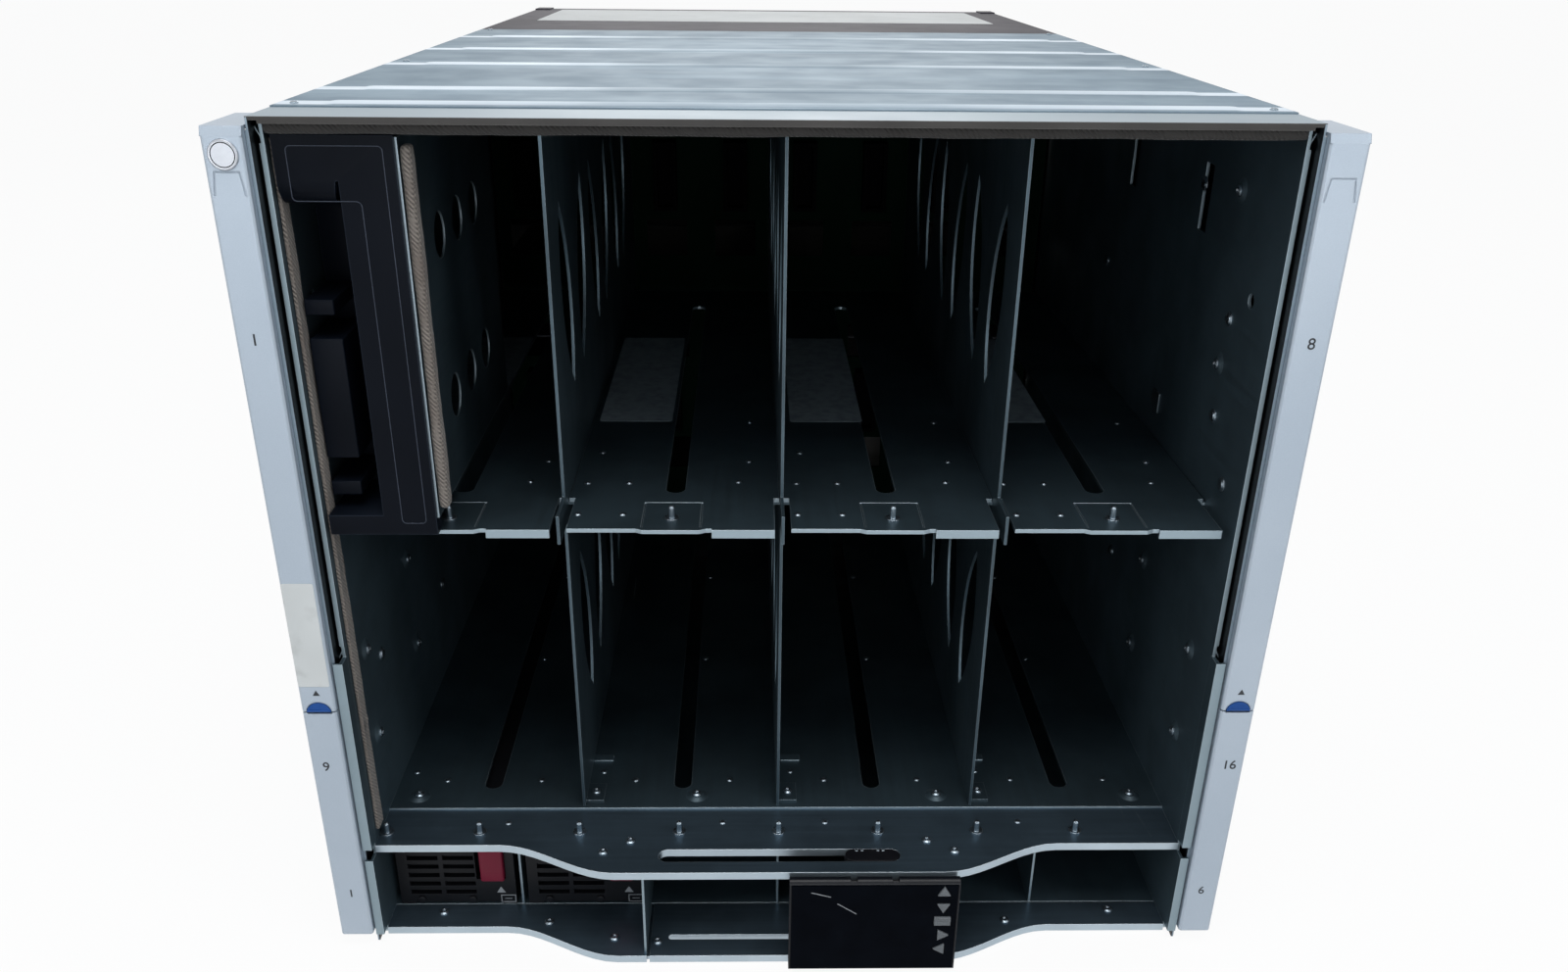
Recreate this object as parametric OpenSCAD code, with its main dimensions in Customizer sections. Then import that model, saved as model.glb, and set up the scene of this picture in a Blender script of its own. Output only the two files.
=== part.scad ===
// Ten-unit rack enclosure for sixteen half-height blades, with rear fans,
// interconnect bays and six power-supply bays.
// X runs across, Y runs from the front to the back, Z is up. The origin is on the
// underside, on the centre line, in the plane of the rack flanges' front faces.

/* [Enclosure] */
// Width of the body between its outer side faces
body_w = 447; // [440:1:449]
// Height of the body
body_h = 442; // [436:1:470]
// Depth of the body behind the rack flanges
body_d = 813; // [790:1:860]
// Thickness of the outer side panels
skin_t = 1.2; // [0.8:0.1:1.5]
// Space each side takes up, from the outer face to the bays
side_depth = 4.5; // [4.2:0.1:6]
// Thickness of the inner bay walls
wall_t = 1.5; // [1:0.1:1.8]
// Thickness of the base plate
base_t = 2; // [1.5:0.1:2.4]
// Thickness of the top cover sheet
cover_t = 1; // [0.8:0.1:1.5]

/* [Rack flanges] */
// How far each rack flange stands out from the body's side
flange_w = 17.8; // [17:0.1:18.5]
// Distance of the rack holes from the flange's outer edge
rack_hole_inset = 8.75; // [7:0.05:10]
// Thickness of the rack flanges
flange_t = 2; // [1.5:0.1:3]
// Radius of the rack holes
rack_hole_r = 3.5; // [3:0.1:3.8]
// Height of the lower pair of rack holes
rack_hole_low = 65.9; // [60:0.1:72]
// Distance from the lower to the upper pair of rack holes
rack_hole_rise = 311.15; // [300:0.05:320]

/* [Bays] */
// Height of the device bay floor
floor_z = 63; // [62:0.5:68]
// Clear height of a lower device bay
lower_bay_h = 183; // [180:0.5:186]
// Thickness of the device bay floor and the shelves
shelf_t = 2; // [1.5:0.1:2.5]
// Depth of the device bays
bay_d = 480; // [460:1:500]
// Thickness of a zone partition
partition_t = 1.5; // [1:0.1:2]
// Distance of the zone partitions from the front
partition_y = 38; // [34:1:42]
// Distance of the shelves' front edge from the front
shelf_y = 13; // [10:0.5:16]
// Height of a guide pin
pin_h = 7; // [5:0.5:9]

/* [Front lips] */
// Place of the lips' outer parts
lip_side_y = 5; // [3:0.5:8]
// How far the middle of the lips stands forward of their outer parts
lip_bulge = 23; // [18:0.5:26]
// Half the width of the forward middle part
lip_inner_x = 88; // [84:1:100]
// Half the width at which the curve ends
lip_outer_x = 152; // [130:1:165]
// Height of the folded front edge of the apron and of the sill
lip_h = 4.5; // [4:0.1:6]

/* [Display] */
// Width of the sliding display
display_w = 90; // [80:1:92]
// Thickness of the display
display_t = 6.5; // [6:0.1:8]
// How far the display slides
display_travel = 100; // [90:1:100]
// Width of the slider that carries the display
slider_w = 29; // [24:1:34]

/* [Blade blank] */
// Space between the blank and the next bay
blank_gap = 1.35; // [1:0.05:4]
// Depth of the blank's moulded front
blank_d = 46; // [40:1:60]
// Length of the blank's side plate
blank_plate_d = 190; // [120:5:300]

/* [Power supplies] */
// Space between neighbouring power supplies
psu_gap = 7; // [3:0.5:12]
// Distance of the power supplies' faces from the front
psu_y = 24; // [22:0.5:28]
// Length of a power supply
psu_d = 432; // [380:1:440]

/* [Rear] */
// Height of a fan bay
fan_bay_h = 106; // [98:0.5:108]
// Height of the management bay row
management_h = 30; // [28:0.5:34]
// Least wall round a fan's round duct
duct_wall = 4.35; // [3:0.05:8]
// Length of a fan module
fan_d = 112; // [100:1:130]
// Number of blades on a fan rotor
rotor_blades = 7; // [5:1:9]

/* [Hidden] */

// Running clearance between pieces that move past each other
clear = 0.3;
// Round edges are drawn with this many sides
$fn = 48;

half_w = body_w / 2;
half_in = half_w - side_depth;
inner_w = 2 * half_in;
blade_pitch = inner_w / 8;
zone_pitch = inner_w / 4;
psu_pitch = inner_w / 6;
psu_w = psu_pitch - psu_gap;
fan_pitch = inner_w / 5;
rib_h = 1;
cover_z = body_h - rib_h - cover_t;
rail_t = 1.2;
rail_z = cover_z - rail_t;
shelf_z = floor_z + lower_bay_h + shelf_t;
apron_t = 1.5;
apron_z = floor_z - 1;
lip_centre_y = lip_side_y - lip_bulge;
sill_t = 1.5;
hem_t = 2;

// A block between pairs of limits along the three axes
module block(x, y, z) {
    translate([x[0], y[0], z[0]]) cube([x[1] - x[0], y[1] - y[0], z[1] - z[0]]);
}

// The children and their mirror image across the centre line
module both_sides() {
    children();
    mirror([1, 0, 0]) children();
}

// A cylinder along Y between two places
module rod_y(r, y, x = 0, z = 0) {
    translate([x, y[1], z]) rotate([90, 0, 0]) cylinder(r = r, h = y[1] - y[0]);
}

// A flat outline in X and Z, given a thickness between two places in Y
module slab_y(y) {
    translate([0, y[1], 0]) rotate([90, 0, 0]) linear_extrude(y[1] - y[0]) children();
}

// A slot with round ends along X, as a flat outline
module slot_x(half, w, x = 0, y = 0) {
    translate([x - half + w / 2, y]) circle(d = w);
    translate([x + half - w / 2, y]) circle(d = w);
    translate([x - half + w / 2, y - w / 2]) square([2 * half - w, w]);
}

// ---------------------------------------------------------------- front lips

function smooth(t) = t <= 0 ? 0 : t >= 1 ? 1 : t * t * (3 - 2 * t);
function lip_y(x) = lip_side_y - lip_bulge * smooth((lip_outer_x - abs(x)) / (lip_outer_x - lip_inner_x));
lip_steps = 10;
function curve_x(i) = lip_inner_x + (lip_outer_x - lip_inner_x) * i / lip_steps;
function lip_xs(half) = concat([-half], [for (i = [lip_steps:-1:0]) -curve_x(i)],
    [for (i = [0:lip_steps]) curve_x(i)], [half]);

// The outline of a front plate, from its curved edge back to a straight one
module lip_outline(half, back, inset = 0) {
    polygon(concat([for (x = lip_xs(half)) [x, lip_y(x) + inset]], [[half, back], [-half, back]]));
}

// The folded front edge that follows the curve
module lip_hem(half) {
    difference() {
        lip_outline(half, lip_side_y + hem_t + 2);
        lip_outline(half + 1, lip_side_y + hem_t + 3, hem_t);
    }
}

slider_slot_w = 12.4;
slider_slot_y = lip_centre_y + 13.8;
slider_slot_half = (display_travel + slider_w) / 2 + 0.6;
slot_rim_t = 1.2;
apron_screws = [[81, 8], [95, -1]];
dimple_xs = [for (part = [-0.933, -0.211, 0.416, 0.926]) part * half_in];

module front_apron() {
    color("slategray") {
        difference() {
            translate([0, 0, apron_z - apron_t]) linear_extrude(apron_t) lip_outline(half_in, partition_y - 2);
            translate([0, 0, apron_z - 2 * apron_t]) linear_extrude(3 * apron_t)
                slot_x(slider_slot_half, slider_slot_w - 2 * slot_rim_t, 0, slider_slot_y);
        }
        translate([0, 0, apron_z - lip_h]) linear_extrude(lip_h - apron_t) lip_hem(half_in);
        // The slot's edge is folded down all round
        translate([0, 0, apron_z - lip_h]) linear_extrude(lip_h - apron_t) difference() {
            slot_x(slider_slot_half + slot_rim_t, slider_slot_w, 0, slider_slot_y);
            slot_x(slider_slot_half, slider_slot_w - 2 * slot_rim_t, 0, slider_slot_y);
        }
    }
}

foot_slot_w = 3.6;
foot_slot_y = slider_slot_y + 0.5;
sill_z = lip_h;
sill_split_x = psu_pitch - 1.5;

module front_sill() {
    color("slategray") difference() {
        union() {
            translate([0, 0, sill_z - sill_t]) linear_extrude(sill_t) lip_outline(half_in, psu_y - 1);
            linear_extrude(sill_z - sill_t) lip_hem(half_in);
        }
        translate([0, 0, -1]) linear_extrude(sill_z + 2)
            slot_x(slider_slot_half - 4, foot_slot_w, 0, foot_slot_y);
        // The sill is two pieces that meet at a narrow gap
        block([-sill_split_x - 0.8, -sill_split_x + 0.8], [lip_centre_y - 2, psu_y], [-1, sill_z + 1]);
    }
}

module base_plate() {
    color("slategray") linear_extrude(base_t) difference() {
        lip_outline(half_w - skin_t, body_d, hem_t + 0.2);
        slot_x(slider_slot_half - 3, foot_slot_w + 2, 0, foot_slot_y);
    }
}

// ---------------------------------------------------------------- sides

flange_z = [8.5, body_h - 7];
rack_half = half_w + flange_w;

module side_panel() {
    block([half_w - skin_t, half_w], [0, body_d], [0, cover_z]);
    difference() {
        block([half_w - skin_t, rack_half], [0, flange_t], flange_z);
        for (z = [rack_hole_low, rack_hole_low + rack_hole_rise])
            rod_y(rack_hole_r, [-1, flange_t + 1], rack_half - rack_hole_inset, z);
    }
}

module left_side_panel() { color("dimgray") mirror([1, 0, 0]) side_panel(); }
module right_side_panel() { color("dimgray") side_panel(); }

wall_y = 6;
ledge_w = 6;
ledge_t = 1.5;
ledge_d = 30;
ledge_ys = [partition_y + 12, bay_d / 2, bay_d - 2 * ledge_d];
hem_out = 0.8;
jog_low = lower_bay_h + floor_z - 66;
wall_dimples = [[37, floor_z + 51], [36, floor_z + 104], [127, floor_z + 55], [127, floor_z + 112],
    [69, rail_z - 38], [62, shelf_z + 69]];
wall_window = [12, 34];
window_ys = [110, 240];
window_z = rail_z - 67;
lock_hole = [36, rail_z - 83];
gusset_t = 1.2;

// A pressed dimple on the inner face of a wall, with its screw head
module wall_dimple(y, z) {
    translate([half_in + wall_t / 2, y, z]) rotate([0, -90, 0]) cylinder(r = 6, h = wall_t / 2);
    translate([half_in, y, z]) rotate([0, -90, 0]) cylinder(r1 = 6, r2 = 3.4, h = dimple_h);
}

// A folded corner that joins the wall's front edge to the side panel, seen from the front
module gusset(z0, z1) {
    slab_y([wall_y, wall_y + 8])
        polygon([[half_in + wall_t / 2, z0], [half_in + wall_t / 2, z0 + gusset_t],
            [half_w - skin_t - 0.1, z1 + gusset_t], [half_w - skin_t - 0.1, z1]]);
}

module bay_wall() {
    difference() {
        block([half_in, half_in + wall_t], [wall_y, bay_d], [base_t, rail_z]);
        for (y = window_ys) block([half_in - 1, half_in + wall_t + 1], [y, y + wall_window[0]],
            [window_z, window_z + wall_window[1]]);
        translate([half_in - 1, lock_hole[0], lock_hole[1]]) rotate([0, 90, 0]) cylinder(r = 3.6, h = wall_t + 2);
    }
    gusset(rail_z - 9, rail_z - 4);
    gusset(jog_low + 4, jog_low - 1);
    // The front edge is hemmed beside the upper bays
    block([half_in + wall_t / 2, half_in + wall_t + hem_out], [wall_y, wall_y + 8], [jog_low + 6, rail_z - 10]);
    // Beside the lower bays it is folded outwards
    block([half_in - 0.4, half_w - 0.1], [-1.6, -0.2], [floor_z + 1, jog_low]);
    block([half_in - 0.4, half_in + wall_t], [-1, wall_y + 1], [floor_z + 1, jog_low]);
    block([half_in, half_w - 0.1], [-1.6, -0.2], [sill_z + 1, apron_z - lip_h - 1]);
    block([half_in, half_in + wall_t], [-1, wall_y + 1], [sill_z + 1, apron_z - lip_h - 1]);
    for (d = wall_dimples) wall_dimple(d[0], d[1]);
    // Ledges carry the outer shelves
    for (y = ledge_ys) block([half_in - ledge_w, half_in + wall_t / 2], [y, y + ledge_d],
        [shelf_z - shelf_t - ledge_t, shelf_z - shelf_t]);
}

module left_bay_wall() { color("darkslategray") mirror([1, 0, 0]) bay_wall(); }
module right_bay_wall() { color("darkslategray") bay_wall(); }

// ---------------------------------------------------------------- top

rail_d = partition_y;
rail_step_y = 31;
cover_join_y = bay_d + 32;
rib_ys = [for (part = [0.0875, 0.208, 0.471, 0.685, 0.906]) part * bay_d];
rib_half = half_w - 19.5;
rib_w = 15;
rib_r = (rib_w * rib_w / 4 + rib_h * rib_h) / (2 * rib_h);

module top_front_rail() {
    color("slategray") {
        block([skin_t - half_w, half_w - skin_t], [0, rail_d], [rail_z, cover_z]);
        block([clear - half_in, half_in - clear], [0, 1.2], [rail_z - 1.4, rail_z]);
        // The strip in front of the cover's edge
        block([-half_w, half_w], [0, rail_step_y - 0.6], [cover_z, cover_z + 0.4]);
    }
}

// A pressed bead across the cover, with round ends
module rib(y) {
    intersection() {
        union() {
            translate([-rib_half + rib_w / 2, y, cover_z + cover_t + rib_h - rib_r]) rotate([0, 90, 0])
                cylinder(r = rib_r, h = 2 * rib_half - rib_w, $fn = 96);
            both_sides() translate([rib_half - rib_w / 2, y, cover_z + cover_t + rib_h - rib_r])
                sphere(r = rib_r, $fn = 96);
        }
        block([-rib_half - 1, rib_half + 1], [y - rib_w, y + rib_w], [cover_z + cover_t / 2, body_h + 1]);
    }
}

module front_top_cover() {
    color("lightsteelblue") {
        block([-half_w, half_w], [rail_step_y, cover_join_y], [cover_z, cover_z + cover_t]);
        for (y = rib_ys) rib(y);
    }
}

module rear_top_cover() {
    color("#2c2833") {
        block([-half_w, half_w], [cover_join_y + 0.8, body_d], [cover_z, cover_z + cover_t]);
        both_sides() block([half_w - 14, half_w], [body_d - 26, body_d], [cover_z + cover_t, body_h]);
    }
}

// ---------------------------------------------------------------- device bays

floor_slot_w = 10;
floor_slot_ys = [partition_y + 16, bay_d - 60];

// A long slot with round ends along Y, as a flat outline
module slot_y(x, w, ys) {
    rotate(90) slot_x((ys[1] - ys[0]) / 2, w, (ys[0] + ys[1]) / 2, -x);
}

module bay_floor() {
    color("darkslategray") {
        difference() {
            block([-half_in, half_in], [partition_y - 2, bay_d], [floor_z - shelf_t, floor_z]);
            translate([0, 0, floor_z - shelf_t - 1]) linear_extrude(shelf_t + 2)
                for (i = [0:3]) slot_y((i - 1.5) * zone_pitch, floor_slot_w, floor_slot_ys);
        }
        for (x = dimple_xs) translate([x, partition_y + 9, floor_z]) cylinder(r1 = 6, r2 = 3.4, h = dimple_h);
    }
}

floor_pin_y = 16;
shelf_pin_y = shelf_y + 12;

// A guide pin with its collar, standing on a surface at the given height
module guide_pin(x, y, z) {
    translate([x, y, z]) {
        cylinder(r = 3.6, h = 0.8, $fn = 24);
        cylinder(r = 1.7, h = pin_h - 0.8, $fn = 24);
        translate([0, 0, pin_h - 0.8]) cylinder(r1 = 1.7, r2 = 1.1, h = 0.8, $fn = 24);
    }
}

module guide_pins() {
    color("lightsteelblue") {
        for (i = [0:7]) guide_pin((i - 4) * blade_pitch + (i == 0 ? 4 : 0), floor_pin_y, apron_z);
        for (i = [0:3]) guide_pin((i - 1.5) * zone_pitch, shelf_pin_y, shelf_z);
    }
}

partition_zs = [floor_z, rail_z];
truss_holes = 6;
truss_bay = (bay_d - partition_y - 70) / truss_holes;
lens_r = 1.39 * truss_bay;
lens_shift = 1.13 * truss_bay;
hook_h = 15;
foot_d = 16;
foot_w = 10;

// A lens-shaped lightening hole that leans to one side, as a flat outline
module lens(lean) {
    rotate(lean) intersection() {
        translate([-lens_shift, 0]) circle(r = lens_r);
        translate([lens_shift, 0]) circle(r = lens_r);
    }
}

// A sheet partition between two zones, its hook at shelf height, its foot and its ledges
module zone_partition(x) {
    difference() {
        union() {
            block([x - partition_t / 2, x + partition_t / 2], [partition_y, bay_d], [floor_z, cover_z]);
            block([x - partition_t / 2, x + partition_t / 2], [shelf_y + 1, partition_y + 1],
                [shelf_z + 6 - hook_h, shelf_z + 6]);
        }
        for (i = [0:truss_holes - 1])
            for (z = [(floor_z + shelf_z) / 2, (shelf_z + rail_z) / 2])
                translate([x - partition_t, partition_y + 0.8 * truss_bay + i * truss_bay, z]) rotate([90, 0, 90])
                    linear_extrude(2 * partition_t) lens(i % 2 == 0 ? 12 : -12);
    }
    block([x + partition_t / 2, x + partition_t / 2 + foot_w], [partition_y + 3, partition_y + 3 + foot_d],
        [floor_z, floor_z + partition_t]);
    for (s = [-1, 1]) for (y = ledge_ys)
        block([min(s * partition_t / 2, s * (partition_t / 2 + ledge_w)) + x,
            max(s * partition_t / 2, s * (partition_t / 2 + ledge_w)) + x],
            [y, y + ledge_d], [shelf_z - shelf_t - ledge_t, shelf_z - shelf_t]);
}

module zone_partition_left() { color("slategray") zone_partition(-zone_pitch); }
module zone_partition_centre() { color("slategray") zone_partition(0); }
module zone_partition_right() { color("slategray") zone_partition(zone_pitch); }

shelf_half = (zone_pitch - partition_t) / 2 - clear;

// One shelf: a plate with a long slot, a bulge behind its pin and a folded lip
module bay_shelf(i) {
    x = (i - 2.5) * zone_pitch;
    difference() {
        union() {
            block([x - shelf_half, x + shelf_half], [shelf_y, bay_d - 12], [shelf_z - shelf_t, shelf_z]);
            translate([x, shelf_y, shelf_z - shelf_t]) linear_extrude(shelf_t)
                polygon([[-18, 0.5], [-14, -1.6], [14, -1.6], [18, 0.5]]);
            block([x + 20, x + shelf_half - 2], [shelf_y - 1.4, shelf_y + 1], [shelf_z - 4.4, shelf_z]);
        }
        translate([0, 0, shelf_z - shelf_t - 1]) linear_extrude(shelf_t + 2)
            slot_y(x, floor_slot_w, [shelf_y + 44, floor_slot_ys[1]]);
        // The crease behind the guide pin
        block([x - 14, x + 14], [shelf_y + 31, shelf_y + 31.8], [shelf_z - 0.5, shelf_z + 1]);
        both_sides_at(x) block([x + 14, x + 14.8], [shelf_y + 2, shelf_y + 31.8], [shelf_z - 0.5, shelf_z + 1]);
        // The plate clears the partition's hook
        block([x + shelf_half - 3, x + shelf_half + 1], [shelf_y - 2, partition_y + 12],
            [shelf_z - 6, shelf_z + 1]);
        block([x - shelf_half - 1, x - shelf_half + 3], [shelf_y - 2, partition_y + 12],
            [shelf_z - 6, shelf_z + 1]);
    }
}

// The children and their mirror image across a plane at x
module both_sides_at(x) {
    children();
    translate([2 * x, 0, 0]) mirror([1, 0, 0]) children();
}

module bay_shelf_1() { color("darkslategray") bay_shelf(1); }
module bay_shelf_2() { color("darkslategray") bay_shelf(2); }
module bay_shelf_3() { color("darkslategray") bay_shelf(3); }
module bay_shelf_4() { color("darkslategray") bay_shelf(4); }

// ---------------------------------------------------------------- gaskets

gasket_w = 9;
gasket_t = 6;

module top_gasket() {
    color("rosybrown") translate([-half_in + 1, 0, 0]) rotate([90, 0, 90])
        linear_extrude(inner_w - 2) intersection() {
            translate([1.4 + gasket_w / 2, rail_z]) scale([gasket_w / 2 / gasket_t, 1]) circle(r = gasket_t);
            translate([0, rail_z - 2 * gasket_t]) square([2 * gasket_w, 2 * gasket_t]);
        }
}

wall_gasket_t = 2.2;

module wall_gasket() {
    color("rosybrown")
        for (z = [[floor_z + 6, jog_low - 6], [jog_low + 8, shelf_z - 6], [shelf_z + 4, rail_z - 8]])
            block([-half_in, -half_in + wall_gasket_t], [wall_y + 4, wall_y + 4 + gasket_w], z);
}

// ---------------------------------------------------------------- midplane

midplane_t = 3.2;
connector_d = 14;
vent_zs = [floor_z + 40, shelf_z - 45, shelf_z + 40, rail_z - 50];

module midplane_board() {
    color("darkgreen") difference() {
        block([-half_in + 2, half_in - 2], [bay_d, bay_d + midplane_t], [floor_z, rail_z - 2]);
        for (i = [0:7]) for (z = vent_zs)
            block([(i - 3.5) * blade_pitch - 16, (i - 3.5) * blade_pitch + 16],
                [bay_d - 1, bay_d + midplane_t + 1], [z - 14, z + 14]);
    }
}

module midplane_connectors() {
    color("black") for (i = [0:7]) for (z = [floor_z + 90, shelf_z + 90])
        difference() {
            block([(i - 3.5) * blade_pitch - 9, (i - 3.5) * blade_pitch + 9],
                [bay_d - connector_d, bay_d], [z - 26, z + 26]);
            block([(i - 3.5) * blade_pitch - 6, (i - 3.5) * blade_pitch + 6],
                [bay_d - connector_d - 1, bay_d - 4], [z - 23, z + 23]);
        }
}

// ---------------------------------------------------------------- power bays

tray_t = 1.5;
tray_z = sill_z;
divider_t = 1.2;
divider_top = apron_z - apron_t;

module psu_tray() {
    color("#20262b") {
        block([-half_in, half_in], [psu_y, bay_d - 4], [tray_z - tray_t, tray_z]);
        for (i = [-3:2]) block([i * psu_pitch + 8, (i + 1) * psu_pitch - 8], [psu_y, psu_y + 1.5],
            [base_t, tray_z - tray_t]);
        block([-half_in, half_in], [bay_d - 6, bay_d - 4], [base_t, tray_z - tray_t]);
    }
}

module psu_dividers() {
    color("#20262b") for (i = [-2:2]) {
        x = i * psu_pitch;
        top = floor_z - shelf_t;
        block([x - divider_t / 2, x + divider_t / 2], [partition_y - 2, bay_d - 10], [tray_z, top]);
        block([x - divider_t / 2, x + divider_t / 2], [psu_y + 0.2, partition_y - 2], [tray_z, divider_top]);
        if (abs(i) == 1) block([x - divider_t / 2, x + divider_t / 2], [lip_centre_y + hem_t + 1, psu_y + 0.2],
            [sill_z, divider_top]);
    }
}

psu_zs = [tray_z + 0.1, apron_z - lip_h - 0.5];
face_t = 8;
latch_w = 13.5;
runner_w = 8;
runner_h = 1.7;
latch_z = [22.5, 46];
louvre_pitch = 6.1;
louvre_h = 3.5;
latch_travel = 2.5;

// One power supply, with its louvred face
module power_supply(i) {
    x0 = -half_in + (i - 1) * psu_pitch + (psu_pitch - psu_w) / 2;
    x1 = x0 + psu_w;
    latch_x = x1 - 19;
    shell = 1.2;
    difference() {
        block([x0, x1], [psu_y, psu_y + psu_d], psu_zs);
        block([x0 + shell, x1 - shell], [psu_y + face_t, psu_y + psu_d - 2],
            [psu_zs[0] + runner_h + shell, psu_zs[1] - shell]);
        // It stands on two runners that pass the sill's screws
        block([x0 + runner_w, x1 - runner_w], [psu_y - 1, psu_y + psu_d + 1], [psu_zs[0] - 1, psu_zs[0] + runner_h]);
        // Air comes in between the louvres
        for (c = [0, 1]) for (r = [0:floor((psu_zs[1] - psu_zs[0] - 14) / louvre_pitch)])
            translate([x0 + 6 + c * 20, psu_y - 1, psu_zs[0] + 7 + r * louvre_pitch])
                cube([17.5, face_t + 2, louvre_h]);
        // The recess round the latch
        block([latch_x - latch_travel - clear, latch_x + latch_w + clear], [psu_y - 1, psu_y + face_t - 1],
            [latch_z[0] - clear, latch_z[1] + clear]);
        for (r = [0:3]) for (c = [0:5])
            rod_y(3.2, [psu_y + psu_d - 3, psu_y + psu_d + 1], x0 + 9 + c * (psu_w - 18) / 5,
                psu_zs[0] + 9 + r * 11.5);
    }
}

// The latch that frees a power supply
module psu_latch(i) {
    x = -half_in + (i - 1) * psu_pitch + (psu_pitch + psu_w) / 2 - 19;
    block([x, x + latch_w], [psu_y - 3, psu_y + face_t - 1 - clear], latch_z);
}

module power_supply_1() { color("#1d2024") power_supply(1); }
module power_supply_2() { color("#1d2024") power_supply(2); }
module psu_latch_1() { color("#7c1836") psu_latch(1); }
module psu_latch_2() { color("#7c1836") psu_latch(2); }

// ---------------------------------------------------------------- bezels

bezel_x = [half_w + 0.7, rack_half];
bezel_y = -4.5;
bezel_wall = 1.6;
seam_z = 154;
cap_t = 2;
cap_d = 38;
tab_w = 12;
tab_h = 5.5;
bezel_lift = 12;
tab_travel = 1.2;
tab_x = (bezel_x[0] + bezel_x[1]) / 2;

// The bezel's hollow section, seen from above
module bezel_section(back) {
    difference() {
        polygon([[bezel_x[0], back], [bezel_x[0], bezel_y + 1], [bezel_x[0] + 1, bezel_y],
            [bezel_x[1] - 1, bezel_y], [bezel_x[1], bezel_y + 1], [bezel_x[1], back]]);
        polygon([[bezel_x[0] + bezel_wall, back + 1], [bezel_x[0] + bezel_wall, bezel_y + bezel_wall],
            [bezel_x[1] - bezel_wall, bezel_y + bezel_wall], [bezel_x[1] - bezel_wall, back + 1]]);
    }
}

// The half oval of the release tab, as a flat outline
module tab_outline(grow = 0) {
    intersection() {
        translate([tab_x, seam_z]) scale([1, (tab_h + grow) / (tab_w / 2 + grow)]) circle(r = tab_w / 2 + grow);
        translate([tab_x - tab_w, seam_z + (grow > 0 ? -1 : 0.4)]) square([2 * tab_w, 3 * tab_h]);
    }
}

// The panel line below the badge, as a flat outline
module bezel_crease() {
    x0 = bezel_x[0] + 3;
    x1 = bezel_x[1] - 3.2;
    z = flange_z[1] - 16;
    difference() {
        polygon([[x0 - 1.4, z - 10], [x0, z], [x1, z], [x1 + 1.4, z - 10]]);
        polygon([[x0 - 0.8, z - 11], [x0 + 0.5, z - 0.5], [x1 - 0.5, z - 0.5], [x1 + 0.8, z - 11]]);
    }
}

module upper_bezel(badge) {
    difference() {
        union() {
            translate([0, 0, seam_z + 0.4]) linear_extrude(flange_z[1] - 2 - seam_z - 0.4) bezel_section(-0.2);
            // The bevelled top that runs back over the flange
            translate([bezel_x[0], 0, 0]) rotate([90, 0, 90]) linear_extrude(bezel_x[1] - bezel_x[0])
                polygon([[bezel_y, flange_z[1] - 2], [bezel_y + 1.5, flange_z[1] + cap_t], [cap_d, flange_z[1] + cap_t],
                    [cap_d, flange_z[1] + 0.3], [-0.2, flange_z[1] + 0.3], [-0.2, flange_z[1] - 2]]);
        }
        slab_y([bezel_y - 1, 1]) tab_outline(clear);
        slab_y([bezel_y - 1, bezel_y + 0.4]) bezel_crease();
    }
    if (badge) rod_y(6.4, [bezel_y - 0.5, bezel_y + 0.1], tab_x, flange_z[1] - 9.2);
}

module lower_bezel() {
    difference() {
        translate([0, 0, flange_z[0]]) linear_extrude(seam_z - 0.4 - flange_z[0]) bezel_section(0);
        slab_y([bezel_y - 1, 1]) tab_outline(clear);
    }
}

module release_tab() {
    slab_y([bezel_y - 0.5, -0.2 - tab_travel - 0.2]) tab_outline();
}

module upper_left_bezel() { color("silver") mirror([1, 0, 0]) upper_bezel(true); }
module upper_right_bezel() { color("silver") upper_bezel(false); }
module lower_left_bezel() { color("silver") mirror([1, 0, 0]) lower_bezel(); }
module lower_right_bezel() { color("silver") lower_bezel(); }
module left_release_tab() { color("royalblue") mirror([1, 0, 0]) release_tab(); }
module right_release_tab() { color("royalblue") release_tab(); }

// ---------------------------------------------------------------- blade blank

blank_x = [-half_in + wall_gasket_t + clear, -half_in + blade_pitch - blank_gap];
blank_y = 6;
blank_z = [shelf_z + 0.1, rail_z - gasket_t - 0.4];
blank_rail_w = 25;
blank_head_h = 30;
blank_head_r = 11;
blank_foot_h = 10;
blank_wall = 2;
plate_t = 1;

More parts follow.
